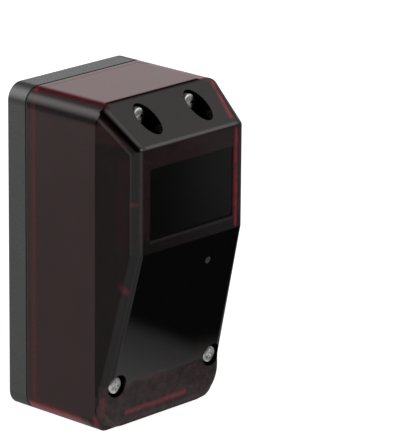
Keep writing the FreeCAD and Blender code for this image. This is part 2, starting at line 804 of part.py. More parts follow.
def domed_diode(name, x, z, diameter, flange, flange_rise, height):
    """Round diode with a rim at its foot and a rounded nose, standing on the board."""
    body = new_body(name)
    top = f"{BOARD_FRONT} + {height}"
    revolve(body, f"{name}_half", [
        (BOARD_FRONT, "0"),
        (BOARD_FRONT, f"{flange} / 2"),
        (f"{BOARD_FRONT} + {flange_rise}", f"{flange} / 2"),
        (f"{BOARD_FRONT} + {flange_rise}", f"{diameter} / 2"),
        (top, f"{diameter} / 2"),
        (top, "0"),
    ], x, z)
    tip = -number(top)

    def rims_tip(edge):
        return edge.Curve.TypeId == "Part::GeomCircle" and abs(edge.CenterOfMass.y - tip) < SAME

    round_edges(body, f"{name}_dome", f"dome_share * {diameter}", rims_tip)
    return body


def light_pipe(form):
    """Clear rod from the status light to the slope, ground flush with the cover's outside."""
    start = f"({BOARD_FRONT} + led_height + led_gap)"
    raw = rod("pipe_rod", "pipe_x", PIPE_Z, start, f"nose_depth - {start}", "pipe_diameter")
    sub_part(common("pipe_flush", raw, form), "light_pipe")


# Terminals

def terminal_x(way):
    """Middle of one way of the terminal block."""
    return f"({way - (TERMINAL_WAYS - 1) / 2} * terminal_pitch)"


def terminal_block():
    """Moulded block: a chamber open to below for each cage and a well in front for each clamping screw."""
    body = new_body("terminal_body")
    half = f"({TERMINAL_WAYS / 2} * terminal_pitch)"
    outline = sketch_on(body, "terminal_outline", "XZ_Plane", out=BOARD_FRONT)
    draw_rounded(outline, f"-{half}", half, TERMINAL_LOW, f"{TERMINAL_LOW} + terminal_tall", "terminal_edge")
    pad(body, outline, "terminal_height")
    wells = sketch_on(body, "terminal_wells", "XZ_Plane", out=f"{BOARD_FRONT} + terminal_height")
    for way in range(TERMINAL_WAYS):
        draw_circle(wells, terminal_x(way), f"{TERMINAL_LOW} + cage_length / 2", "clamp_head + 2 * clamp_well_gap")
    pocket(body, wells, f"{WELL_DEPTH} + cage_gap")
    chambers = sketch_on(body, "terminal_chambers", "XY_Plane", out=f"{TERMINAL_LOW} + cage_length + cage_gap")
    for way in range(TERMINAL_WAYS):
        side = "(cage_width / 2 + cage_gap)"
        low = f"-({BOARD_FRONT} + cage_floor)"
        high = f"-({BOARD_FRONT} + cage_floor + cage_height + cage_gap)"
        draw_polygon(chambers, [
            (f"{terminal_x(way)} - {side}", low), (f"{terminal_x(way)} + {side}", low),
            (f"{terminal_x(way)} + {side}", high), (f"{terminal_x(way)} - {side}", high),
        ])
    pocket(body, chambers, "cage_length + cage_gap")
    sub_part(body, "terminal_block")


def terminal_cages():
    """Brass cages with a hole for the wire and a hole for the clamping screw."""
    cages = []
    for way in range(TERMINAL_WAYS):
        x = terminal_x(way)
        depth = f"({BOARD_FRONT} + cage_floor)"
        blank = block(f"cage_blank_{way}", f"{x} - cage_width / 2", depth, TERMINAL_LOW,
                      "cage_width", "cage_height", "cage_length")
        wire = rod(f"cage_wire_{way}", x, TERMINAL_LOW, f"{depth} + cage_height / 2",
                   "cage_length", "wire_hole_diameter", "Z")
        thread = rod(f"cage_thread_{way}", x, f"{TERMINAL_LOW} + cage_length / 2", f"{depth} + cage_height / 2",
                     "cage_height", "clamp_shank + 2 * thread_gap")
        cages.append(cut(f"cage_{way}", blank, fuse(f"cage_holes_{way}", [wire, thread])))
    sub_part(group("cage_set", cages), "terminal_cages")


def terminal_screws():
    """Clamping screws, their heads on the cages."""
    def one(way):
        x, z = terminal_x(way), f"({TERMINAL_LOW} + cage_length / 2)"
        seat = f"({BOARD_FRONT} + cage_floor + cage_height)"
        made = screw(f"clamp_screw_{way}", x, z, seat, "clamp_length", "clamp_shank", "clamp_head",
                     "clamp_head_height", "clamp_head_edge", "clamp_shank / 4")
        return drive(made, x, z, f"{seat} + clamp_head_height", "slot_width", "clamp_head", "slot_depth", False)

    sub_part(group("clamp_screw_set", [one(way) for way in range(TERMINAL_WAYS)]), "terminal_screws")


# Parts soldered to the board

def on_board(place):
    """Height of a place given from the board's lower edge."""
    return f"({BOARD_LOW} + {place})"


def from_left(inset):
    """Place across the board, given from its left side."""
    return f"({inset} - {BOARD_HALF})"


def from_right(inset):
    """Place across the board, given from its right side."""
    return f"({BOARD_HALF} - ({inset}))"


def relay():
    """Sealed relay with rounded edges."""
    body = new_body("relay_case")
    low = f"{on_board('relay_z')} - relay_tall / 2"
    outline = sketch_on(body, "relay_outline", "XZ_Plane", out=BOARD_FRONT)
    left = f"{from_left('relay_inset')} - relay_width / 2"
    draw_rounded(outline, left, f"{left} + relay_width", low, f"{low} + relay_tall", "relay_round")
    pad(body, outline, "relay_height")
    top = -number(f"{BOARD_FRONT} + relay_height")
    round_edges(body, "relay_lid", "relay_round / 2", lambda edge: abs(edge.BoundBox.YMin - top) < SAME
                and abs(edge.BoundBox.YMax - top) < SAME)
    sub_part(body, "relay")


def reservoir_capacitor():
    """Can with a crimped groove near its foot and a rounded rim."""
    body = new_body("can")
    radius = "can_diameter / 2"
    groove = f"{BOARD_FRONT} + can_round"
    top = f"{BOARD_FRONT} + can_height"
    revolve(body, "can_half", [
        (BOARD_FRONT, "0"),
        (BOARD_FRONT, radius),
        (groove, radius),
        (f"{groove} + can_groove", f"{radius} - can_groove"),
        (f"{groove} + 2 * can_groove", radius),
        (f"{top} - can_round", radius),
        (top, f"{radius} - can_round"),
        (top, "0"),
    ], "can_x", on_board("can_z"))
    sub_part(body, "reservoir_capacitor")


def voltage_regulator():
    """Small three-legged regulator: a round body with a flat, held off the board by its legs."""
    x, z = from_right("regulator_inset"), on_board("regulator_z")
    start = f"({BOARD_FRONT} + regulator_lift)"
    barrel = rod("regulator_barrel", x, z, start, "regulator_height", "regulator_diameter")
    flat = block("regulator_flat_side", f"{x} - regulator_diameter", start, f"{z} + regulator_flat",
                 "2 * regulator_diameter", "regulator_height", "regulator_diameter")
    legs = [
        rod(f"regulator_leg_{index}", f"{x} + {index - 1} * regulator_pitch", z, BOARD_FRONT,
            "regulator_lift + regulator_height / 2", "lead_diameter")
        for index in range(3)
    ]
    sub_part(fuse("regulator", [cut("regulator_body", barrel, flat), *legs]), "voltage_regulator")


def signal_chip():
    """Amplifier chip: a moulded body on two rows of bent legs."""
    x, z = from_right("chip_inset"), on_board("chip_z")
    lift = f"({BOARD_FRONT} + chip_lift)"
    pieces = [block("chip_body", f"{x} - chip_width / 2", lift, f"{z} - chip_tall / 2",
                    "chip_width", "chip_height", "chip_tall")]
    for row, side in (("left", "-1"), ("right", "1")):
        for leg in range(CHIP_LEGS_PER_SIDE):
            low = f"{z} + {leg - (CHIP_LEGS_PER_SIDE - 1) / 2} * chip_pitch - leg_width / 2"
            foot = f"{x} + {side} * chip_row / 2 - leg_thickness / 2"
            reach = "(chip_row - chip_width) / 2 + leg_thickness / 2"
            inner = f"{x} + chip_width / 2" if side == "1" else f"{x} - chip_width / 2 - ({reach})"
            pieces.append(block(f"chip_leg_{row}_{leg}", foot, BOARD_FRONT, low,
                                "leg_thickness", "leg_knee", "leg_width"))
            pieces.append(block(f"chip_knee_{row}_{leg}", inner, f"{BOARD_FRONT} + leg_knee - leg_thickness", low,
                                reach, "leg_thickness", "leg_width"))
    sub_part(fuse("chip", pieces), "signal_chip")


def axial_part(name, x, z, diameter, length, span, axis):
    """Round part lying on the board, its wires ending in two tinned legs at the ends of the span."""
    depth = f"({BOARD_FRONT} + lead_lift + {diameter} / 2)"

    def along(offset):
        return (f"{x} + {offset}", z) if axis == "X" else (x, f"{z} + {offset}")

    pieces = [
        rod(f"{name}_body", *along(f"-{length} / 2"), depth, length, diameter, axis),
        rod(f"{name}_wire", *along(f"-{span} / 2"), depth, span, "lead_diameter", axis),
    ]
    height = f"lead_lift + ({diameter} + tinned_diameter) / 2"
    for end, sign in (("first", "-1"), ("second", "1")):
        spot = along(f"{sign} * {span} / 2")
        pieces.append(rod(f"{name}_{end}", *spot, BOARD_FRONT, height, "tinned_diameter"))
    return fuse(name, pieces)


def rectifier_diodes():
    """Row of supply diodes beside the terminal block."""
    row = [
        axial_part(f"rectifier_{index}", from_right(f"diode_row_inset + {index} * diode_pitch"),
                   on_board("diode_row_z"), "rectifier_diameter", "rectifier_length", "rectifier_span", "Z")
        for index in range(RECTIFIERS)
    ]
    sub_part(group("rectifier_row", row), "rectifier_diodes")


def resistors():
    """Row of resistors above the relay."""
    row = [
        axial_part(f"resistor_{index}", from_left("resistor_inset"),
                   on_board(f"(resistor_z + {index} * resistor_pitch)"),
                   "resistor_diameter", "resistor_length", "resistor_span", "X")
        for index in range(RESISTORS)
    ]
    sub_part(group("resistor_row", row), "resistors")


def header_x(pin):
    """Middle of one pin of the setting header."""
    return f"(header_x + {pin - (HEADER_PINS - 1) / 2} * pin_pitch)"


def jumper_header():
    """Pins of the setting link in their moulded strip."""
    z = on_board("header_z")
    left = f"header_x - {HEADER_PINS / 2} * pin_pitch"
    strip = block("header_strip", left, BOARD_FRONT, f"{z} - header_width / 2",
                  f"{HEADER_PINS} * pin_pitch", "header_height", "header_width")
    pins = [
        block(f"header_pin_{pin}", f"{header_x(pin)} - pin_width / 2", BOARD_FRONT, f"{z} - pin_width / 2",
              "pin_width", "pin_height", "pin_width")
        for pin in range(HEADER_PINS)
    ]
    sub_part(fuse("header", [strip, *pins]), "jumper_header")


def jumper_cap():
    """Link pushed over the first two pins."""
    z = on_board("header_z")
    start = f"({BOARD_FRONT} + header_height)"
    middle = f"(({header_x(0)} + {header_x(1)}) / 2)"
    cap = block("jumper_block", f"{middle} - jumper_length / 2", start, f"{z} - header_width / 2",
                "jumper_length", "pin_height - header_height + jumper_roof", "header_width")
    sockets = [
        block(f"jumper_socket_{pin}", f"{header_x(pin)} - pin_width / 2 - jumper_gap", start,
              f"{z} - pin_width / 2 - jumper_gap", "pin_width + 2 * jumper_gap",
              "pin_height - header_height + jumper_gap", "pin_width + 2 * jumper_gap")
        for pin in range(2)
    ]
    sub_part(cut("jumper", cap, fuse("jumper_sockets", sockets)), "jumper_cap")


def check_document():
    """Stops before anything is written if a feature failed or a piece is no valid solid."""
    for thing in doc.Objects:
        if {"Invalid", "Error"} & set(thing.State):
            raise RuntimeError(f"{thing.Name} failed: {thing.State}")
    for thing in sub_parts:
        shape = thing.Shape
        if shape.isNull() or not shape.isValid() or not shape.Solids:
            raise RuntimeError(f"{thing.Label} is no valid solid")


def write_parts():
    """One STEP file for each piece, named by its label."""
    os.makedirs("parts", exist_ok=True)
    for thing in sub_parts:
        thing.Shape.exportStep(f"parts/{thing.Label}.step")
        print(f"{thing.Label}: {len(thing.Shape.Solids)} solid(s), {thing.Shape.Volume / 1000:.3f} cm3")


sheet = make_sheet()
outer_form = cover_form()
rear_base()
front_cover(outer_form)
cover_gasket()
cover_screws()
cable_grommet()
circuit_board()
board_screws()
lens_holder()
lens()
sub_part(domed_diode("receiver", "0", LIGHT_AXIS, "diode_diameter", "diode_flange", "diode_flange_rise",
                     "diode_height"), "receiver_diode")
sub_part(domed_diode("status", "pipe_x", PIPE_Z, "led_diameter", "led_flange", "led_flange_rise", "led_height"),
         "status_led")
light_pipe(outer_form)
terminal_block()
terminal_cages()
terminal_screws()
relay()
reservoir_capacitor()
voltage_regulator()
signal_chip()
rectifier_diodes()
resistors()
jumper_header()
jumper_cap()
doc.recompute()
check_document()
write_parts()
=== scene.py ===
"""Looks for one receiver of a through-beam light barrier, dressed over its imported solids.

Lengths in the classes below are millimetres in the part's own frame: X to the right, -Y out of the window,
Z up. Depths are measured forward from the rear face. Meshes are written in metres.
"""
import logging
import math
from dataclasses import dataclass
from enum import Enum
from typing import Any

import bpy
import numpy as np
from mathutils import Matrix


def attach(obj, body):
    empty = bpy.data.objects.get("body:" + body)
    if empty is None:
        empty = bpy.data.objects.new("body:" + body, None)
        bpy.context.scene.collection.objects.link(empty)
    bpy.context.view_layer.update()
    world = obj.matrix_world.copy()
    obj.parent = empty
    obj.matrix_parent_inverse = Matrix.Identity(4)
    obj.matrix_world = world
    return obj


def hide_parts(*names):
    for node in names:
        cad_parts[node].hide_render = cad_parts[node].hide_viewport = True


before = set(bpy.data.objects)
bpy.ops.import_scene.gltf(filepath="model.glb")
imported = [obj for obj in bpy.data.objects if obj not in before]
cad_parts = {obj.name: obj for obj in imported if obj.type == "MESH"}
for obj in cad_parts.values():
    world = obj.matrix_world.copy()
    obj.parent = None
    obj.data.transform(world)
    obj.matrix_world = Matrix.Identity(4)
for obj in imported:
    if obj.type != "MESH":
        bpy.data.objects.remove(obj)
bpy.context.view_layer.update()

MM = 0.001
REAR = 30.25
BODY = "root"
LOG = logging.getLogger("light_barrier")

Spot = tuple[float, float]
Point = tuple[float, float, float]
Colour = tuple[float, float, float]

# main sizes of the housing, which several classes share
WIDTH = 61.0
HEIGHT = 120.0
CORNER = 6.0
BASE_DEPTH = 8.5
COVER_REAR = 9.4
STEP = 43.0
FRONT = 60.5
FACET_FOOT = 106.9
SCREW_PLACES: tuple[Spot, ...] = ((-12.75, 113.85), (12.75, 113.85), (-24.2, 17.6), (24.2, 17.6))


def place(x: float, depth: float, z: float) -> Point:
    """Point in the part's frame from its place across, its depth and its height."""
    return (x, REAR - depth, z)


class Value:
    """Number carried by a shader socket; arithmetic on it adds Math nodes."""

    def __init__(self, graph: "Graph", socket: bpy.types.NodeSocket) -> None:
        """Wraps one output socket of a graph."""
        self.graph = graph
        self.socket = socket

    def _math(self, operation: str, *terms: Any) -> "Value":
        """Math node over the terms given, in order."""
        node = self.graph.node("ShaderNodeMath", {"operation": operation}, dict(enumerate(terms)))
        return Value(self.graph, node.outputs[0])

    def __add__(self, other: Any) -> "Value":
        """Sum."""
        return self._math("ADD", self, other)

    def __sub__(self, other: Any) -> "Value":
        """Difference."""
        return self._math("SUBTRACT", self, other)

    def __mul__(self, other: Any) -> "Value":
        """Product."""
        return self._math("MULTIPLY", self, other)

    def __rsub__(self, other: Any) -> "Value":
        """Difference from a number."""
        return self._math("SUBTRACT", other, self)

    __radd__ = __add__
    __rmul__ = __mul__

    def __abs__(self) -> "Value":
        """Size without sign."""
        return self._math("ABSOLUTE", self)

    def __or__(self, other: Any) -> "Value":
        """Union of two masks: the larger value."""
        return self._math("MAXIMUM", self, other)

    def __and__(self, other: Any) -> "Value":
        """Overlap of two masks: the smaller value."""
        return self._math("MINIMUM", self, other)

    __ror__ = __or__
    __rand__ = __and__

    def ramp(self, start: float, end: float) -> "Value":
        """Smooth step from 0 at the start to 1 at the end, in either direction.

        Args:
            start: value where the step begins.
            end: value where the step is complete.

        Returns:
            The step, from 0 to 1.
        """
        low, high = (start, end) if start < end else (end, start)
        node = self.graph.node(
            "ShaderNodeMapRange", {"interpolation_type": "SMOOTHSTEP"},
            {"Value": self, "From Min": low, "From Max": high,
             "To Min": float(start > end), "To Max": float(start < end)},
        )
        return Value(self.graph, node.outputs[0])


class Graph:
    """Node tree of one material or of the world."""

    def __init__(self, tree: bpy.types.NodeTree) -> None:
        """Empties the tree and takes it over."""
        self.tree = tree
        tree.nodes.clear()

    def node(self, kind: str, settings: dict[str, Any], inputs: dict[str | int, Any]) -> bpy.types.Node:
        """Adds one node.

        Args:
            kind: the node's type.
            settings: properties, which are set first.
            inputs: number, colour or link for each input, by name or index.

        Returns:
            The node.
        """
        made = self.tree.nodes.new(kind)
        for name, value in settings.items():
            setattr(made, name, value)
        for key, value in inputs.items():
            socket = made.inputs[key]
            if isinstance(value, Value):
                self.tree.links.new(value.socket, socket)
            elif isinstance(value, bpy.types.NodeSocket):
                self.tree.links.new(value, socket)
            else:
                socket.default_value = value
        return made

    def position(self) -> bpy.types.NodeSocket:
        """Object coordinates in millimetres.

        Returns:
            The socket of the position.
        """
        coordinates = self.node("ShaderNodeTexCoord", {}, {})
        scaled = self.node("ShaderNodeVectorMath", {"operation": "SCALE"},
                           {0: coordinates.outputs["Object"], "Scale": 1.0 / MM})
        return scaled.outputs[0]

    def split(self, vector: bpy.types.NodeSocket) -> tuple[Value, Value, Value]:
        """Three components of a vector."""
        node = self.node("ShaderNodeSeparateXYZ", {}, {0: vector})
        return tuple(Value(self, output) for output in node.outputs)

    def join(self, x: Any, y: Any, z: Any) -> bpy.types.NodeSocket:
        """Vector from three components."""
        return self.node("ShaderNodeCombineXYZ", {}, {0: x, 1: y, 2: z}).outputs[0]

    def noise(self, vector: bpy.types.NodeSocket, grain: float, detail: float = 2.0,
              rough: float = 0.5) -> Value:
        """Cloudy noise of about 0.5, with features of the grain's size in millimetres."""
        node = self.node("ShaderNodeTexNoise", {},
                         {"Vector": vector, "Scale": 1.0 / grain, "Detail": detail, "Roughness": rough})
        return Value(self, node.outputs[0])

    def stretch(self, vector: bpy.types.NodeSocket, by: Point) -> bpy.types.NodeSocket:
        """Vector scaled along each axis."""
        return self.node("ShaderNodeVectorMath", {"operation": "MULTIPLY"}, {0: vector, 1: by}).outputs[0]

    def mix(self, factor: Any, first: Any, second: Any) -> bpy.types.NodeSocket:
        """Colour between two colours.

        Args:
            factor: 0 for the first, 1 for the second.
            first: colour or link.
            second: colour or link.

        Returns:
            The mixed colour's socket.
        """
        fill = [(*item, 1.0) if isinstance(item, tuple) else item for item in (first, second)]
        node = self.node("ShaderNodeMix", {"data_type": "RGBA"}, {0: factor, 6: fill[0], 7: fill[1]})
        return node.outputs[2]

    def stroke(self, vector: bpy.types.NodeSocket, start: Point, end: Point, radius: float) -> Value:
        """Soft line on the surface: 1 on the segment from start to end, falling to 0 at the radius.

        The distance is that of the point from its foot on the segment: |p - a - t (b - a)| with t the
        share of the way along, held between 0 and 1.

        Args:
            vector: position in millimetres.
            start: one end of the segment.
            end: the other end.
            radius: distance at which the line has faded.

        Returns:
            The mask.
        """
        a, b = np.array(start), np.array(end)
        span = b - a
        along = tuple(span / span.dot(span))
        offset = self.node("ShaderNodeVectorMath", {"operation": "SUBTRACT"}, {0: vector, 1: tuple(a)})
        relative = offset.outputs[0]
        dot = self.node("ShaderNodeVectorMath", {"operation": "DOT_PRODUCT"}, {0: relative, 1: along})
        share = self.node("ShaderNodeMath", {"operation": "ADD", "use_clamp": True},
                          {0: dot.outputs["Value"], 1: 0.0}).outputs[0]
        foot = self.node("ShaderNodeVectorMath", {"operation": "SCALE"}, {0: tuple(span), "Scale": share})
        gap = self.node("ShaderNodeVectorMath", {"operation": "DISTANCE"}, {0: relative, 1: foot.outputs[0]})
        return Value(self, gap.outputs["Value"]).ramp(radius, 0.0)

    def lines(self, spot: bpy.types.NodeSocket, strokes: tuple["Stroke", ...]) -> Value:
        """Union of the masks of several lines; those on both sides are read at the point's mirror image.

        Args:
            spot: position in millimetres.
            strokes: the lines.

        Returns:
            The mask, at each point that of its strongest line.
        """
        x, y, z = self.split(spot)
        mirrored = self.join(abs(x), y, z)
        union = x * 0.0
        for line in strokes:
            start, end = place(*line.start), place(*line.end)
            mask = self.stroke(mirrored if line.both_sides else spot, start, end, line.radius)
            union = union | (mask * line.strength)
        return union

    def matted(self, shader: bpy.types.NodeSocket, mask: Value, colour: Any) -> bpy.types.NodeSocket:
        """Shader that loses its gloss and takes a matt colour where the mask is 1."""
        matt = self.surface(Base_Color=colour, Roughness=0.9, Specular_IOR_Level=0.0)
        return self.node("ShaderNodeMixShader", {}, {0: mask, 1: shader, 2: matt}).outputs[0]

    def bump(self, height: Value, strength: float, distance: float) -> bpy.types.NodeSocket:
        """Normal bent by a height in millimetres."""
        node = self.node("ShaderNodeBump", {},
                         {"Strength": strength, "Distance": distance * MM, "Height": height})
        return node.outputs[0]

    def surface(self, **inputs: Any) -> bpy.types.NodeSocket:
        """Principled shader.

        Args:
            inputs: number, colour or link for each input, underscores standing for spaces in its name.

        Returns:
            The shader's socket.
        """
        named = {name.replace("_", " "): value for name, value in inputs.items()}
        for name, value in named.items():
            if isinstance(value, tuple) and len(value) == 3:
                named[name] = (*value, 1.0)
        return self.node("ShaderNodeBsdfPrincipled", {}, named).outputs[0]

    def finish(self, shader: bpy.types.NodeSocket) -> None:
        """Connects the shader to the material's output."""
        self.node("ShaderNodeOutputMaterial", {}, {"Surface": shader})


@dataclass(frozen=True)
class Stroke:
    """Soft line between two points, each given by its place across, depth and height.

    It is a painted red glow, painted shade or a painted highlight, as the finish that has it says.
    """

    start: Point
    end: Point
    radius: float
    strength: float
    both_sides: bool = False


@dataclass(frozen=True)
class Finish:
    """A surface finish; each kind writes its own shader."""

    name: str

    def shade(self, graph: Graph) -> None:
        """Writes the finish's nodes into an empty graph."""
        raise NotImplementedError

    def material(self) -> bpy.types.Material:
        """New material with this finish.

        Returns:
            The material.
        """
        made = bpy.data.materials.new(self.name)
        made.use_nodes = True
        self.shade(Graph(made.node_tree))
        return made


@dataclass(frozen=True)
class Moulding(Finish):
    """Moulded plastic or rubber: fine grain, slow change of tone and a slightly uneven gloss."""

    colour: Colour
    roughness: float
    grain: float = 0.5
    depth: float = 0.02
    spread: float = 0.25
    # lines of painted shade and of painted highlights, and the colours they take
    shade_lines: tuple[Stroke, ...] = ()
    highlight_lines: tuple[Stroke, ...] = ()
    shade_colour: Colour = (0.004, 0.004, 0.004)
    highlight_colour: Colour = (0.22, 0.22, 0.22)
    drift_ratio: float = 30.0

    def shade(self, graph: Graph) -> None:
        """Slow noise drifts the colour, fine noise gives grain; painted highlights pale it and painted shade
        darkens it.

        Args:
            graph: empty graph of the material.
        """
        spot = graph.position()
        drift = graph.noise(spot, self.drift_ratio * self.grain, 3.0)
        fine = graph.noise(spot, self.grain, 2.0, 0.6)
        dark = tuple(channel * (1.0 - self.spread) for channel in self.colour)
        light = tuple(channel * (1.0 + self.spread) for channel in self.colour)
        tone = graph.mix(drift * 0.6 + fine * 0.4, dark, light)
        # painted highlights: the colour pales along these lines
        if self.highlight_lines:
            tone = graph.mix(graph.lines(spot, self.highlight_lines) * (0.6 + fine * 0.8), tone, self.highlight_colour)
        body = graph.surface(
            Base_Color=tone,
            Roughness=self.roughness - 0.08 + fine * 0.16,
            Normal=graph.bump(fine, 0.6, self.depth),
        )
        # painted shade: black without gloss along these lines
        if self.shade_lines:
            body = graph.matted(body, graph.lines(spot, self.shade_lines), self.shade_colour)
        graph.finish(body)


@dataclass(frozen=True)
class Plating(Finish):
    """Plated metal with turning marks round its axis and a little dulling."""

    colour: Colour
    roughness: float
    marks: float = 0.12
    metal: float = 1.0
    # lines of painted shade on the metal, and their colour
    head_shading: tuple[Stroke, ...] = ()
    head_shading_black: Colour = (0.006, 0.006, 0.006)
    dull_grain: float = 2.5
    dull_share: float = 0.78

    def shade(self, graph: Graph) -> None:
        """Streaky noise stands for tool marks, a slow noise for dull patches; painted shade follows lines.

        Args:
            graph: empty graph of the material.
        """
        spot = graph.position()
        streak = graph.noise(graph.stretch(spot, (0.4, 0.4, 3.0)), self.marks * 3.0, 3.0)
        dull = graph.noise(spot, self.dull_grain, 2.0)
        dark = tuple(channel * self.dull_share for channel in self.colour)
        body = graph.surface(
            Base_Color=graph.mix(dull.ramp(0.35, 0.7), self.colour, dark),
            Metallic=self.metal,
            Roughness=self.roughness + (dull - 0.5) * 0.2,
            Normal=graph.bump(streak, 0.35, 0.01),
        )
        # painted shade: black without gloss along these lines
        if self.head_shading:
            body = graph.matted(body, graph.lines(spot, self.head_shading), self.head_shading_black)
        graph.finish(body)


@dataclass(frozen=True)
class Resin(Finish):
    """Clear or tinted resin with a faint cloud in it."""

    colour: Colour
    roughness: float
    clearness: float = 0.0
    cloud_grain: float = 1.6
    cloud_share: float = 0.7

    def shade(self, graph: Graph) -> None:
        """A slow noise clouds the colour and the polish.

        Args:
            graph: empty graph of the material.
        """
        cloud = graph.noise(graph.position(), self.cloud_grain, 2.0)
        dark = tuple(channel * self.cloud_share for channel in self.colour)
        graph.finish(graph.surface(
            Base_Color=graph.mix(cloud, dark, self.colour),
            Roughness=self.roughness + cloud * 0.06,
            Transmission_Weight=self.clearness,
            IOR=1.49,
        ))


@dataclass(frozen=True)
class Laminate(Finish):
    """Circuit board: green resist over copper tracks, with the weave of the glass cloth in the gloss."""

    resist: Colour
    track: Colour
    pitch: float
    yarn: float = 0.8

    def shade(self, graph: Graph) -> None:
        """Edges of square cells give the tracks; two crossed noises give the weave.

        Args:
            graph: empty graph of the material.
        """
        spot = graph.position()
        cells = graph.node("ShaderNodeTexVoronoi", {"feature": "DISTANCE_TO_EDGE", "distance": "MANHATTAN"},
                           {"Vector": graph.stretch(spot, (1.0, 0.0, 1.0)), "Scale": 1.0 / self.pitch})
        tracks = Value(graph, cells.outputs["Distance"]).ramp(0.10, 0.07)
        warp = graph.noise(graph.stretch(spot, (1.0, 1.0, 6.0)), self.yarn)
        weave = warp + graph.noise(graph.stretch(spot, (6.0, 1.0, 1.0)), self.yarn)
        graph.finish(graph.surface(
            Base_Color=graph.mix(tracks, self.resist, self.track),
            Roughness=0.3 + weave * 0.08,
            Normal=graph.bump(tracks, 0.5, 0.03),
        ))


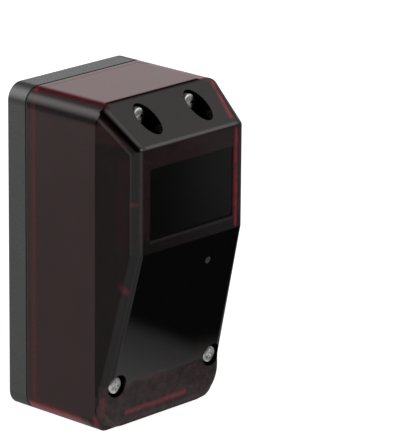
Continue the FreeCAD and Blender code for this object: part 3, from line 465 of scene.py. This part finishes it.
@dataclass(frozen=True)
class FilterPlastic(Finish):
    """Infrared-pass plastic of the cover: almost black, red where light runs in an edge or a thin wall."""

    black: Colour = (0.0016, 0.0012, 0.0012)
    # painted light: side to sill are tones lighter and redder than the plastic's black, for the light on and
    # in each face
    side: Colour = (0.020, 0.0062, 0.0066)
    top: Colour = (0.138, 0.012, 0.017)
    nose: Colour = (0.0056, 0.0024, 0.0026)
    facet: Colour = (0.0125, 0.0036, 0.0030)
    margin: Colour = (0.0145, 0.0075, 0.0080)
    sill: Colour = (0.0066, 0.0050, 0.0052)
    strip: Colour = (0.0180, 0.0076, 0.0072)
    # colours of the painted red glow, the painted highlights and the painted shade
    red: Colour = (0.55, 0.018, 0.055)
    pale: Colour = (0.32, 0.31, 0.30)
    unlit: Colour = (0.002, 0.001, 0.001)
    height: float = HEIGHT
    step: float = STEP
    tongue: float = 13.0
    strip_half: float = 30.125
    strip_height: float = 16.4
    strip_rise: float = 1.7
    slope_half: float = 27.75
    slope_top: float = 68.5
    facet_foot: float = FACET_FOOT
    front: float = FRONT
    window_half: float = 21.06
    window_low: float = 73.2
    window_high: float = 99.0
    wells: tuple[Spot, ...] = SCREW_PLACES
    well_radius: float = 4.3
    well_mouth: float = 47.2
    between_wells: float = 70.0
    polish: float = 0.10
    satin: float = 0.50
    cloud_grain: float = 9.0
    blotch_grain: float = 1.6
    patch_grain: float = 2.6
    break_grain: float = 3.5
    fine_grain: float = 0.7
    glows: tuple[Stroke, ...] = ()
    shades: tuple[Stroke, ...] = ()
    painted_highlights: tuple[Stroke, ...] = ()

    @staticmethod
    def _blotched(graph: Graph, mottle: Value, colour: Colour, contrast: float) -> bpy.types.NodeSocket:
        """Colour that wavers by the contrast's share with the blotches."""
        low, high = (tuple(channel * (1.0 + sign * contrast) for channel in colour) for sign in (-1.0, 1.0))
        return graph.mix(mottle, low, high)

    def _strip(self, x: Value, depth: Value, z: Value) -> Value:
        """Mask of the satin strip at the foot of the nose, which reaches higher on its left half.

        Args:
            x: distance to the right of the middle.
            depth: distance from the rear face.
            z: height.

        Returns:
            The mask.
        """
        border = z + x.ramp(-3.0, 7.0) * self.strip_rise
        top = self.strip_height + self.strip_rise
        within = abs(x).ramp(self.strip_half + 0.225, self.strip_half - 0.225)
        low = border.ramp(top + 1.0, top - 1.0) & within
        return low & depth.ramp(self.step - 0.15, self.step - 0.02)

    def _tones(self, graph: Graph, x: Value, depth: Value, z: Value, mottle: Value) -> bpy.types.NodeSocket:
        """Colour of each field of the cover, found from the place alone; painted light in all but window and
        slope.

        Args:
            graph: the material's graph.
            x: distance from the middle, without sign.
            depth: distance from the rear face.
            z: height.
            mottle: blotches between 0 and 1.

        Returns:
            The colour's socket.
        """
        nose = depth.ramp(self.step - 0.4, self.step + 0.4)
        high = z.ramp(self.height - 1.2, self.height - 0.3)
        box = graph.mix(high, self._blotched(graph, mottle, self.side, 0.3), self.top)
        facet = z.ramp(self.facet_foot - 0.3, self.facet_foot + 0.6)
        slope = x.ramp(self.slope_half + 0.75, self.slope_half - 0.75)
        below = z.ramp(self.slope_top + 0.6, self.slope_top - 0.3) & slope
        half, low, brow = self.window_half, self.window_low, self.window_high
        clear = x.ramp(half + 0.2, half - 0.2) & z.ramp(low - 0.2, low + 0.2) & z.ramp(brow + 0.2, brow - 0.2)
        flat = depth.ramp(self.front - 0.7, self.front - 0.4)
        border = graph.mix(z.ramp(low + 2.0, low - 1.0), self._blotched(graph, mottle, self.margin, 0.45),
                           self._blotched(graph, mottle, self.sill, 0.45))
        front = graph.mix(flat, self._blotched(graph, mottle, self.nose, 0.5), border)
        front = graph.mix(clear, front, self.black)
        front = graph.mix(facet, front, self._blotched(graph, mottle, self.facet, 0.7))
        front = graph.mix(below, front, self.black)
        return graph.mix(nose, box, front)

    def _well_shade(self, x: Value, depth: Value, z: Value) -> Value:
        """Painted shade in the screw wells: within the wall's radius of an axis, and below the mouth in the
        lower two.

        Args:
            x: distance to the right of the middle.
            depth: distance from the rear face.
            z: height.

        Returns:
            The mask.
        """
        outer, inner = ((self.well_radius + reach) ** 2 for reach in (0.16, 0.05))
        union = x * 0.0
        for across, height in self.wells:
            sideways, upwards = x - across, z - height
            union = union | (sideways * sideways + upwards * upwards).ramp(outer, inner)
        sunk = depth.ramp(self.well_mouth + 0.3, self.well_mouth - 0.3)
        return union & (sunk | z.ramp(self.between_wells - 10.0, self.between_wells + 10.0))

    def shade(self, graph: Graph) -> None:
        """Each field in its tone, a painted red glow and painted grey highlights on edges, painted shade
        without gloss.

        Args:
            graph: empty graph of the material.
        """
        spot = graph.position()
        x, y, z = graph.split(spot)
        depth = REAR - y
        cloud = graph.noise(spot, self.cloud_grain, 3.0)
        fine = graph.noise(spot, self.fine_grain, 2.0, 0.6)
        mottle = cloud * 0.25 + graph.noise(spot, self.blotch_grain, 3.0, 0.65) * 0.4 + fine * 0.35
        strip = self._strip(x, depth, z)
        patches = graph.noise(spot, self.patch_grain, 3.0, 0.65).ramp(0.32, 0.68)
        body = graph.mix(strip, self._tones(graph, abs(x), depth, z, mottle.ramp(0.3, 0.7)),
                         self._blotched(graph, patches, self.strip, 0.6))
        # painted red glow over the end of the tongue inside, and along the edges listed as glows
        rim = depth.ramp(self.tongue - 2.6, self.tongue - 0.5) & depth.ramp(self.tongue + 1.0, self.tongue)
        broken = graph.noise(spot, self.break_grain, 2.0).ramp(0.25, 0.6)
        glow = (rim * (0.025 + fine * 0.05)) | (graph.lines(spot, self.glows) * (0.45 + broken * 0.55))
        # painted highlights: grey along the edges listed as highlights
        pale = graph.lines(spot, self.painted_highlights)
        tone = graph.mix(pale, graph.mix(glow, body, self.red), self.pale)
        rough = self.polish + strip * (self.satin - self.polish) + (cloud - 0.5) * 0.06 + (fine - 0.5) * 0.04
        gloss = graph.surface(Base_Color=tone, Roughness=rough, IOR=1.55)
        # painted shade: black without gloss along the shade lines and inside the screw wells
        dark = graph.lines(spot, self.shades) | (self._well_shade(x, depth, z) * 0.95)
        graph.finish(graph.matted(gloss, dark, graph.mix(glow, self.unlit, self.red)))


def new_mesh(name: str, points: np.ndarray, *faces: np.ndarray, crease: float = 0.0) -> bpy.types.Object:
    """Object at the origin from whole arrays.

    Args:
        name: the piece's name.
        points: corners in millimetres, one row each.
        faces: arrays of corner numbers, one row for each face of an array.
        crease: angle in degrees over which an edge stays sharp, 0 for flat faces.

    Returns:
        The object, linked to the scene.
    """
    mesh = bpy.data.meshes.new(name)
    mesh.from_pydata((points * MM).tolist(), [], [face for group in faces for face in group.tolist()])
    mesh.validate()
    mesh.polygons.foreach_set("use_smooth", np.full(len(mesh.polygons), crease > 0.0))
    mesh.set_sharp_from_angle(angle=math.radians(crease))
    mesh.update()
    made = bpy.data.objects.new(name, mesh)
    bpy.context.scene.collection.objects.link(made)
    return made


def grid_faces(rows: int, columns: int, round_rows: bool = False,
               round_columns: bool = False) -> np.ndarray:
    """Corner numbers of the faces of a grid of points.

    Args:
        rows: points in the first direction.
        columns: points in the second direction.
        round_rows: whether the first direction closes on itself.
        round_columns: whether the second direction closes on itself.

    Returns:
        One row of four numbers for each face.
    """
    row, column = np.meshgrid(np.arange(rows if round_rows else rows - 1),
                              np.arange(columns if round_columns else columns - 1), indexing="ij")
    next_row, next_column = (row + 1) % rows, (column + 1) % columns
    corners = (row * columns + column, row * columns + next_column,
               next_row * columns + next_column, next_row * columns + column)
    return np.stack(corners, axis=-1).reshape(-1, 4)


def dress(node: str, finish: Finish) -> None:
    """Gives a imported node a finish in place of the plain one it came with.

    Args:
        node: the node's name.
        finish: its finish.
    """
    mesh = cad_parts[node].data
    mesh.materials.clear()
    mesh.materials.append(finish.material())
    LOG.info("dressed %s with %s", node, finish.name)


def fit(piece: bpy.types.Object, finish: Finish, node: str) -> None:
    """Dresses a new piece and puts it in a node's place.

    Args:
        piece: the new piece.
        finish: its finish.
        node: the node that it stands for.
    """
    piece.data.materials.append(finish.material())
    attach(piece, BODY)
    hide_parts(node)
    LOG.info("built %s with %s", piece.name, finish.name)


@dataclass
class CoverScrews:
    """Four pan-head screws with a cross recess that hold the cover."""

    places: tuple[Spot, ...] = SCREW_PLACES
    seat: float = 44.7
    length: float = 40.0
    point: float = 2.0
    tip_radius: float = 0.1
    shank_radius: float = 1.5
    head_radius: float = 3.15
    shoulder: float = 1.6
    dome: float = 0.8
    dome_power: int = 8
    recess_depth: float = 1.3
    recess_half_width: float = 0.5
    recess_half_span: float = 1.7
    recess_edge: float = 0.14
    columns: int = 96
    edge_rings: int = 14
    rings: int = 46

    def _meridian(self) -> tuple[np.ndarray, np.ndarray]:
        """Depth and radius from the point to the crown.

        A cone, a straight shank, a flat seat and an upright shoulder come first. The dome above them has the
        height h sqrt(1 - (r / R)^n) at the radius r, with R the head's radius and n the dome's power. Its
        rings lie close together round the edge.

        Returns:
            Depths and radii, one for each ring of points.
        """
        swing = np.linspace(np.pi / 2, 0.2 * np.pi / 2, self.edge_rings)
        rounded = self.head_radius * np.sin(swing) ** (2.0 / self.dome_power)
        inner = np.linspace(rounded[-1], 0.0, self.rings)[1:-1]
        radius = np.concatenate([rounded, inner])
        fall = (radius / self.head_radius) ** self.dome_power
        height = self.shoulder + self.dome * np.sqrt(np.clip(1.0 - fall, 0.0, 1.0))
        rear = self.seat - self.length
        stem = np.array([[rear + self.tip_radius, self.tip_radius], [rear + self.point, self.shank_radius],
                         [self.seat, self.shank_radius], [self.seat, self.head_radius]])
        return np.concatenate([stem[:, 0], self.seat + height]), np.concatenate([stem[:, 1], radius])

    def _recess(self, across: np.ndarray, up: np.ndarray) -> np.ndarray:
        """Depth of the cross recess: two crossed slots, deepest in the middle and rising to their ends.

        Args:
            across: distance to the right of the axis.
            up: distance above the axis.

        Returns:
            The depth at each point.
        """
        def inside(size: np.ndarray, half: float) -> np.ndarray:
            """Step from 0 outside the half size to 1 inside it."""
            share = np.clip((half - size) / self.recess_edge + 0.5, 0.0, 1.0)
            return share * share * (3.0 - 2.0 * share)

        along, cross = np.abs(across), np.abs(up)
        arms = [inside(a, self.recess_half_span) * inside(b, self.recess_half_width)
                * (1.0 - 0.5 * a / self.recess_half_span) for a, b in ((along, cross), (cross, along))]
        return self.recess_depth * np.maximum(*arms)

    def build(self) -> bpy.types.Object:
        """The four screws: each is the meridian turned about its axis, less the recess in its dome.

        Returns:
            One object with four closed shells.
        """
        depth, radius = self._meridian()
        angle = np.linspace(0.0, 2.0 * np.pi, self.columns, endpoint=False)
        across, up = radius[:, None] * np.cos(angle), radius[:, None] * np.sin(angle)
        head = (depth > self.seat + 0.5 * self.shoulder)[:, None]
        sunk = depth[:, None] - head * self._recess(across, up)
        crown = self.seat + self.shoulder + self.dome - self.recess_depth
        shell = np.concatenate([
            np.stack([across, sunk, up], axis=-1).reshape(-1, 3),
            [[0.0, self.seat - self.length, 0.0], [0.0, crown, 0.0]],
        ])
        rows, count = len(depth), len(depth) * self.columns
        ring = np.arange(self.columns)
        following = np.roll(ring, -1)
        tip = np.stack([np.full_like(ring, count), following, ring], axis=-1)
        last = (rows - 1) * self.columns
        top = np.stack([np.full_like(ring, count + 1), ring + last, following + last], axis=-1)
        sides = grid_faces(rows, self.columns, round_columns=True)
        spots = np.array([[x, 0.0, z] for x, z in self.places])
        points = (shell[None] + spots[:, None]).reshape(-1, 3)
        points[:, 1] = REAR - points[:, 1]
        starts = (np.arange(len(spots)) * len(shell))[:, None, None]
        kinds = (sides, np.concatenate([tip, top]))
        quads, fans = ((starts + kind[None]).reshape(-1, kind.shape[1]) for kind in kinds)
        return new_mesh("cover_screw_set", points, quads, fans, crease=38.0)

    def _marks(self, screws: tuple[Spot, ...], start: Spot, end: Spot, radius: float,
               strength: float) -> list[Stroke]:
        """The same line on the rim of several heads.

        Args:
            screws: the screws' places.
            start: one end of the line, from a screw's axis.
            end: the other end, from the axis.
            radius: distance at which the line has faded.
            strength: how much it covers.

        Returns:
            One line for each screw.
        """
        rim = self.seat + self.shoulder + 0.5 * self.dome
        ends = [[(x + across, rim, z + up) for across, up in (start, end)] for x, z in screws]
        return [Stroke(*pair, radius, strength) for pair in ends]

    def dress(self) -> None:
        """Builds and plates the screws; painted shade darkens each head on its right, on parts of its rim and
        by its recess.
        """
        upper, lower = self.places[:2], self.places[2:]
        # painted shade on the heads: lines of black without gloss
        head_shading = (
            *self._marks(upper, (2.5, 1.6), (1.6, -3.2), 2.2, 1.3),
            *self._marks(lower, (2.9, -0.9), (1.0, -3.0), 1.9, 1.2),
            *self._marks(lower, (-1.5, -0.9), (-1.1, -1.2), 1.1, 0.8),
            *self._marks(lower[:1], (-0.6, 0.0), (1.2, 0.0), 3.0, 0.28),
            *self._marks(lower, (-2.8, 1.1), (0.3, 3.1), 1.3, 0.85),
        )
        zinc = Plating("bright_zinc", (0.95, 0.95, 0.94), 0.26, metal=0.72, head_shading=head_shading)
        fit(self.build(), zinc, "cover_screws")


@dataclass
class SealBead:
    """Rubber bead that is pressed between base and cover."""

    half_width: float = WIDTH / 2.0
    height: float = HEIGHT
    corner: float = CORNER
    inset: Spot = (0.35, 2.5)
    depth: Spot = (BASE_DEPTH, COVER_REAR)
    fullness: float = 0.35
    corner_steps: int = 14
    section_steps: int = 24

    def build(self) -> bpy.types.Object:
        """Section carried round the housing's outline.

        The path is the outline, four quarter circles joined by straight runs. The section is a squared oval:
        its width goes as the cosine and its depth as the sine of a turn, each raised to the fullness with its
        sign kept.

        Returns:
            One closed ring.
        """
        turn = np.linspace(0.0, 2.0 * np.pi, self.section_steps, endpoint=False)
        wide, deep = (np.sign(wave) * np.abs(wave) ** self.fullness for wave in (np.cos(turn), np.sin(turn)))
        inset = np.mean(self.inset) - np.ptp(self.inset) / 2.0 * wide
        depth = np.mean(self.depth) + np.ptp(self.depth) / 2.0 * deep
        quarter = np.linspace(0.0, np.pi / 2.0, self.corner_steps)
        angle = (np.arange(4)[:, None] * np.pi / 2.0 + quarter).reshape(-1)
        side = np.repeat(np.array([[1, 1], [-1, 1], [-1, -1], [1, -1]]), self.corner_steps, axis=0)
        centre = side * np.array([self.half_width, self.height / 2.0]) - side * self.corner
        reach = self.corner - inset
        x = centre[:, :1] + reach * np.cos(angle)[:, None]
        z = self.height / 2.0 + centre[:, 1:] + reach * np.sin(angle)[:, None]
        points = np.stack([x, np.broadcast_to(REAR - depth, x.shape), z], axis=-1).reshape(-1, 3)
        faces = grid_faces(len(angle), self.section_steps, round_rows=True, round_columns=True)
        return new_mesh("seal_bead", points, faces[:, ::-1], crease=60.0)

    def dress(self) -> None:
        """Builds the bead in black rubber."""
        rubber = Moulding("black_seal_rubber", (0.055, 0.055, 0.055), 0.6, 0.4, 0.03)
        fit(self.build(), rubber, "cover_gasket")


@dataclass
class Housing:
    """Base, cover and the small parts that stay as packed."""

    width: float = WIDTH
    height: float = HEIGHT
    corner: float = CORNER
    base_depth: float = BASE_DEPTH
    cover_rear: float = COVER_REAR
    step: float = STEP
    strip: float = 47.6
    front: float = FRONT
    facet_foot: float = FACET_FOOT

    def glows(self) -> tuple[Stroke, ...]:
        """Edges of the cover with a painted red glow, for light that runs in the plastic.

        Returns:
            The lines.
        """
        half, top = self.width / 2.0, self.height
        line, rear, step, front = half - self.corner, self.cover_rear, self.step, self.front
        return (
            # long edges of the top
            Stroke((line + 0.8, rear, top), (line + 0.8, step, top), 3.1, 0.22, both_sides=True),
            Stroke((line, rear, top), (line + 2.5, 11.0, top - 0.6), 1.8, 0.5, both_sides=True),
            Stroke((line - 1.8, step - 0.3, top), (line + 0.6, step - 0.5, top), 1.4, 0.6),
            Stroke((22.8, 11.6, top), (24.6, 15.5, top), 1.2, 0.1),
            # end of the tongue under the top
            Stroke((0.0, 12.9, top), (line, 12.9, top), 0.6, 0.22, both_sides=True),
            # lower edges of the sides
            Stroke((half - 1.0, 11.0, 3.0), (half - 1.0, 34.0, 2.6), 3.6, 0.27, both_sides=True),
            Stroke((half - 0.2, step, 5.6), (half - 1.6, step, 1.8), 1.7, 0.2, both_sides=True),
            # right edge of the facet
            Stroke((26.6, 44.9, 118.6), (22.6, 57.8, 108.9), 1.4, 0.6),
            # left side of the nose
            Stroke((-28.4, 54.6, 101.0), (-28.4, 54.6, 74.0), 4.5, 0.014),
            Stroke((-28.4, 54.0, 56.6), (-28.0, 55.6, 55.0), 2.0, 0.12),
            Stroke((-27.5, 58.0, 87.2), (-26.9, 59.4, 87.2), 1.4, 0.10),
            # right edge of the window field
            Stroke((22.6, front, 105.0), (22.6, front, 70.0), 1.3, 0.32),
            Stroke((21.1, front - 0.4, 99.0), (21.1, front - 0.4, 74.0), 0.8, 0.08),
            # strip at the foot of the nose
            Stroke((-19.3, self.strip, 6.5), (10.8, self.strip, 6.7), 1.5, 0.23),
            Stroke((-29.4, 46.2, 13.2), (-29.6, 44.8, 5.4), 1.9, 0.14),
            Stroke((-29.3, 45.0, 8.6), (-28.8, 43.6, 5.0), 1.6, 0.13),
            Stroke((-20.0, 48.4, 20.0), (18.0, 48.4, 20.0), 10.0, 0.005),
        )

    def shades(self) -> tuple[Stroke, ...]:
        """Edges of the cover that look black, because nothing bright shows through or in them.

        Returns:
            The lines.
        """
        half, top = self.width / 2.0, self.height
        line, rear, step, front = half - self.corner, self.cover_rear, self.step, self.front
        return (
            # upper edge of the facet and its left corner
            Stroke((-line, step - 0.4, top), (line - 3.4, step - 0.4, top), 1.6, 1.1),
            Stroke((-line, step, top), (-26.4, 43.6, 119.5), 1.1, 0.95),
            Stroke((-26.4, 43.6, 119.5), (-28.3, 44.6, 118.2), 1.2, 0.95),
            # rounded edges between the top and the sides
            Stroke((-line - 1.7, rear, top - 0.2), (-line - 1.7, step, top - 0.2), 3.7, 0.94),
            Stroke((half - 0.1, rear, top - 5.2), (half - 0.1, step, top - 5.2), 2.6, 0.86, both_sides=True),
            # painted shade on the top, near the end of the tongue inside
            Stroke((0.0, 12.0, top), (line, 12.0, top), 0.5, 0.4, both_sides=True),
            Stroke((22.8, 11.6, top), (24.6, 15.5, top), 1.2, 0.3),
            # bevels of the facet
            Stroke((28.75, 44.4, 118.0), (26.3, 59.0, 106.9), 1.4, 1.2, both_sides=True),
            Stroke((29.5, 45.0, 116.6), (27.25, 58.6, 105.9), 1.3, 0.5, both_sides=True),
            # sill of the window field
            Stroke((0.0, front, 73.9), (20.8, front, 73.9), 0.55, 0.8, both_sides=True),
            # foot of the nose and left bevel of the slope
            Stroke((-20.0, 46.2, 1.2), (20.0, 46.2, 1.2), 3.2, 0.4),
            Stroke((-25.3, 55.5, 48.6), (-25.5, 52.3, 35.2), 0.7, 0.22),
        )

    def painted_highlights(self) -> tuple[Stroke, ...]:
        """Edges of the cover painted a little pale, as painted highlights.

        Returns:
            The lines.
        """
        side, brow = self.width / 2.0 - 1.2, self.facet_foot + 0.1
        front = self.front
        return (
            # lower edge of the facet and sill of the window field
            Stroke((0.0, front - 0.5, brow), (22.5, front - 0.5, brow), 0.9, 0.25, both_sides=True),
            Stroke((0.0, front, 72.7), (20.8, front, 72.7), 0.9, 0.03, both_sides=True),
            # lower edges of the sides
            Stroke((side, self.cover_rear, 2.4), (side, 38.0, 2.4), 3.2, 0.16, both_sides=True),
            # left bevel of the facet
            Stroke((-26.5, 45.2, 118.3), (-24.7, 58.4, 108.3), 1.1, 0.13),
            Stroke((-30.1, 44.6, 115.4), (-27.2, 58.7, 106.0), 1.1, 0.08),
            # lower left corner of the nose
            Stroke((-30.3, 43.5, 13.5), (-29.9, 43.1, 7.4), 1.1, 0.03),
            Stroke((-29.6, 43.1, 7.0), (-25.6, 43.6, 2.6), 1.2, 0.045),
        )

    def base_shade_lines(self) -> tuple[Stroke, ...]:
        """Painted shade: dark lines where the base's rounded corners run out into its flat sides.

        Returns:
            The lines.
        """
        half, top, deep = self.width / 2.0, self.height, self.base_depth
        above, beside = half - self.corner + 1.7, half - 0.1
        return (
            Stroke((above, 0.0, top - 0.3), (above, deep, top - 0.3), 3.2, 0.6, both_sides=True),
            Stroke((beside, 0.0, top - 5.3), (beside, deep, top - 5.3), 1.9, 0.5, both_sides=True),
        )

    def base_highlight_lines(self) -> tuple[Stroke, ...]:
        """Painted highlight along the middle of the base's rounded corners.

        Returns:
            The lines.
        """
        bow = self.corner * (1.0 - math.sqrt(0.5))
        x, z = self.width / 2.0 - bow, self.height - bow
        return (Stroke((x, 0.0, z), (x, self.base_depth, z), 3.6, 0.8, both_sides=True),)

    def dress(self) -> None:
        """Finishes of the housing's nodes."""
        # the base's corners carry painted shade and a painted highlight
        dress("rear_base", Moulding("grey_base_moulding", (0.046, 0.047, 0.047), 0.28, 0.35, 0.02, 0.12,
                                    self.base_shade_lines(), self.base_highlight_lines()))
        dress("front_cover", FilterPlastic("dark_red_filter_plastic", glows=self.glows(),
                                           shades=self.shades(), painted_highlights=self.painted_highlights()))
        dress("cable_grommet", Moulding("black_bush_rubber", (0.016, 0.016, 0.016), 0.62, 0.5, 0.04))
        dress("light_pipe", Resin("grey_light_pipe", (0.035, 0.036, 0.036), 0.35))


@dataclass
class Electronics:
    """Everything sealed inside the housing."""

    def dress(self) -> None:
        """Finishes of the inner nodes."""
        zinc = Plating("dull_zinc", (0.62, 0.62, 0.6), 0.34)
        black = Moulding("matt_black_moulding", (0.015, 0.015, 0.016), 0.55, 0.4)
        chip = Moulding("moulding_resin", (0.022, 0.022, 0.022), 0.5, 0.3)
        blue = Moulding("dark_blue_case", (0.02, 0.05, 0.18), 0.3, 0.6, 0.01)
        finishes = {
            "circuit_board": Laminate("green_resist", (0.02, 0.12, 0.05), (0.035, 0.19, 0.08), 4.5),
            "board_screws": zinc,
            "terminal_screws": zinc,
            "lens_holder": black,
            "jumper_header": black,
            "lens": Resin("clear_lens", (0.92, 0.94, 0.94), 0.02, 1.0),
            "receiver_diode": Resin("daylight_filter_resin", (0.03, 0.012, 0.03), 0.1),
            "status_led": Resin("red_diffused_resin", (0.45, 0.03, 0.02), 0.2),
            "terminal_block": Moulding("green_terminal_moulding", (0.03, 0.2, 0.09), 0.42, 0.5),
            "terminal_cages": Plating("dull_brass", (0.66, 0.5, 0.25), 0.32),
            "relay": blue,
            "jumper_cap": blue,
            "reservoir_capacitor": Moulding("black_sleeve", (0.03, 0.03, 0.035), 0.28, 0.5, 0.01),
            "voltage_regulator": chip,
            "signal_chip": chip,
            "rectifier_diodes": chip,
            "resistors": Moulding("beige_lacquer", (0.55, 0.42, 0.28), 0.38, 0.4),
        }
        for node, finish in finishes.items():
            dress(node, finish)


@dataclass(frozen=True)
class WhiteFloor(Finish):
    """Pale floor, bright enough to read as white, with a trace of shadow."""

    grey: Colour = (0.5, 0.5, 0.5)
    brightness: float = 0.94

    def shade(self, graph: Graph) -> None:
        """A matt grey that takes the shadow, with an even glow added to it.

        Args:
            graph: empty graph of the material.
        """
        glow = graph.node("ShaderNodeEmission", {},
                          {"Color": (1.0, 1.0, 1.0, 1.0), "Strength": self.brightness})
        matt = graph.surface(Base_Color=self.grey, Roughness=1.0, Specular_IOR_Level=0.0)
        graph.finish(graph.node("ShaderNodeAddShader", {}, {0: glow.outputs[0], 1: matt}).outputs[0])


@dataclass(frozen=True)
class DarkCard(Finish):
    """Dark card on the floor to the front right, seen in the gloss of the slope and the window alone."""

    corner: Spot = (30.2, -56.4)
    black: float = 0.012

    def shade(self, graph: Graph) -> None:
        """Emission that covers a part of the floor and leaves the rest clear.

        The card fills the corner between two lines through one point of the floor, ends level with the front
        of the part, and far out grows lighter towards the right.

        Args:
            graph: empty graph of the material.
        """
        x, y, _ = graph.split(graph.position())
        right, back = x - self.corner[0], y - self.corner[1]
        across = right * 0.76 - back * 0.65
        along = right * 0.91 + back * 0.41
        ahead = x * 0.087 - y - 27.0
        border = (across.ramp(-40.0, -6.0) + across.ramp(-12.0, 2.0)) * 0.5
        cover = border & along.ramp(-19.0, -5.0) & ahead.ramp(0.0, 18.0)
        rightward = x * 0.682 + y * 0.731
        far = across.ramp(110.0, 170.0) * (0.85 + across.ramp(200.0, 290.0) * 0.35)
        level = self.black + far * (0.02 + rightward.ramp(-36.0, -4.0) * 0.11)
        glow = graph.node("ShaderNodeEmission", {}, {"Color": level})
        clear = graph.node("ShaderNodeBsdfTransparent", {}, {})
        graph.finish(graph.node("ShaderNodeMixShader", {},
                                {0: cover, 1: clear.outputs[0], 2: glow.outputs[0]}).outputs[0])


class Seen(Enum):
    """Which rays meet a piece of the stage."""

    DIRECT = ("visible_camera", "visible_diffuse", "visible_transmission", "visible_shadow")
    MIRRORED = ("visible_glossy",)

    def apply(self, thing: bpy.types.Object) -> None:
        """Leaves the object to these rays alone."""
        for flag in {name for kind in Seen for name in kind.value} | {"visible_volume_scatter"}:
            setattr(thing, flag, flag in self.value)


@dataclass(frozen=True)
class Lamp:
    """Soft round lamp, far away, full within the inner angle and gone at the outer one, all in degrees."""

    azimuth: float
    elevation: float
    inner: float
    outer: float
    strength: float

    def level(self, graph: Graph, direction: bpy.types.NodeSocket) -> Value:
        """Brightness over the directions of the world, from the cosine of the angle to the lamp.

        Args:
            graph: the world's graph.
            direction: the direction looked in.

        Returns:
            The brightness.
        """
        az, el = math.radians(self.azimuth), math.radians(self.elevation)
        middle = (math.cos(az) * math.cos(el), math.sin(az) * math.cos(el), math.sin(el))
        dot = graph.node("ShaderNodeVectorMath", {"operation": "DOT_PRODUCT"}, {0: direction, 1: middle})
        edge, core = (math.cos(math.radians(angle)) for angle in (self.outer, self.inner))
        return Value(graph, dot.outputs["Value"]).ramp(edge, core) * self.strength


LAMPS = (
    Lamp(137.0, 22.0, 12.0, 40.0, 1.9),
    Lamp(137.0, -17.0, 7.0, 20.0, 0.16),
    Lamp(43.0, 10.0, 22.0, 46.0, 0.63),
    Lamp(80.0, 47.0, 9.0, 28.0, 0.62),
    Lamp(-42.0, 42.0, 10.0, 42.0, 0.86),
    Lamp(172.0, -9.0, 3.0, 12.0, 0.42),
    Lamp(-83.0, -17.0, 4.0, 14.0, 0.16),
    Lamp(-80.0, -40.0, 10.0, 30.0, 0.14),
    Lamp(-27.0, -36.0, 13.0, 30.0, 0.24),
    Lamp(-80.0, 38.0, 6.0, 22.0, 1.6),
    Lamp(-126.0, -79.0, 8.0, 24.0, 0.7),
)


@dataclass
class Studio:
    """Floor, light and camera of the photograph."""

    azimuth: float = -46.96
    elevation: float = 17.11
    roll: float = -0.509
    distance: float = 1404.2
    shift_right: float = 28.932
    shift_down: float = -8.278
    target: Point = (0.0, 5.25, 60.0)
    focal_pixels: float = 3930.9
    image_height: int = 440
    sensor: float = 36.0
    floor_half: float = 6000.0
    floor_level: float = -0.05
    card_level: float = -0.5
    room: float = 0.02
    camera_side: Spot = (-0.731, -0.682)
    lamps: tuple[Lamp, ...] = LAMPS

    def axes(self) -> tuple[np.ndarray, np.ndarray, np.ndarray]:
        """Directions of the camera, from azimuth, elevation and roll.

        Returns:
            Right, down and forward, each of length 1.
        """
        az, el, roll = (math.radians(v) for v in (self.azimuth, self.elevation, self.roll))
        forward = np.array([-math.sin(az) * math.cos(el), math.cos(az) * math.cos(el), -math.sin(el)])
        right = np.array([math.cos(az), math.sin(az), 0.0])
        down = np.cross(forward, right)
        return (math.cos(roll) * right + math.sin(roll) * down,
                -math.sin(roll) * right + math.cos(roll) * down, forward)

    def camera(self) -> None:
        """Camera at the photograph's angle; the focal length follows from the image taken as 400 by 440."""
        right, down, forward = self.axes()
        aim = np.array(self.target) - self.distance * forward
        spot = aim + self.shift_right * right + self.shift_down * down
        data = bpy.data.cameras.new("photo_camera")
        data.sensor_width = self.sensor
        data.lens = self.focal_pixels / self.image_height * self.sensor
        data.clip_end = 100.0
        made = bpy.data.objects.new("photo_camera", data)
        columns = np.stack([right, -down, -forward, spot * MM], axis=1)
        made.matrix_world = Matrix([*columns.tolist(), [0.0, 0.0, 0.0, 1.0]])
        bpy.context.scene.collection.objects.link(made)
        bpy.context.scene.camera = made

    def sheet(self, finish: Finish, height: float, seen: Seen) -> None:
        """Level square of the stage, named after its finish.

        Args:
            finish: its finish.
            height: level above the bottom of the part.
            seen: the rays that meet it.
        """
        side = np.array([-self.floor_half, self.floor_half])
        x, y = np.meshgrid(side, side, indexing="ij")
        points = np.stack([x, y, np.full_like(x, height)], axis=-1).reshape(-1, 3)
        made = new_mesh(finish.name, points, grid_faces(2, 2)[:, ::-1])
        made.data.materials.append(finish.material())
        seen.apply(made)

    def world(self) -> None:
        """Soft surroundings: a dim room, brighter near the ground and towards the camera, with soft lamps."""
        world = bpy.data.worlds.new("studio")
        bpy.context.scene.world = world
        world.use_nodes = True
        graph = Graph(world.node_tree)
        direction = graph.node("ShaderNodeTexCoord", {}, {}).outputs["Generated"]
        x, y, z = graph.split(direction)
        facing = x * self.camera_side[0] + y * self.camera_side[1]
        haze = 0.15 + y.ramp(0.25, -0.15) * 0.04 + facing.ramp(0.42, 0.7) * 0.18
        level = self.room + z.ramp(0.55, -0.1) * haze
        for lamp in self.lamps:
            level = level + lamp.level(graph, direction)
        sky = graph.node("ShaderNodeBackground", {}, {"Color": level})
        graph.node("ShaderNodeOutputWorld", {}, {"Surface": sky.outputs[0]})

    def build(self) -> None:
        """Sets the whole stage."""
        self.sheet(WhiteFloor("floor"), self.floor_level, Seen.DIRECT)
        self.sheet(DarkCard("card_in_gloss"), self.card_level, Seen.MIRRORED)
        self.world()
        self.camera()
        bpy.context.scene.view_settings.view_transform = "Standard"
        LOG.info("stage set")


def main() -> None:
    """Dresses the part and sets the stage."""
    logging.basicConfig(level=logging.INFO, format="%(name)s: %(message)s")
    Housing().dress()
    SealBead().dress()
    CoverScrews().dress()
    Electronics().dress()
    Studio().build()


if __name__ == "__main__":
    main()
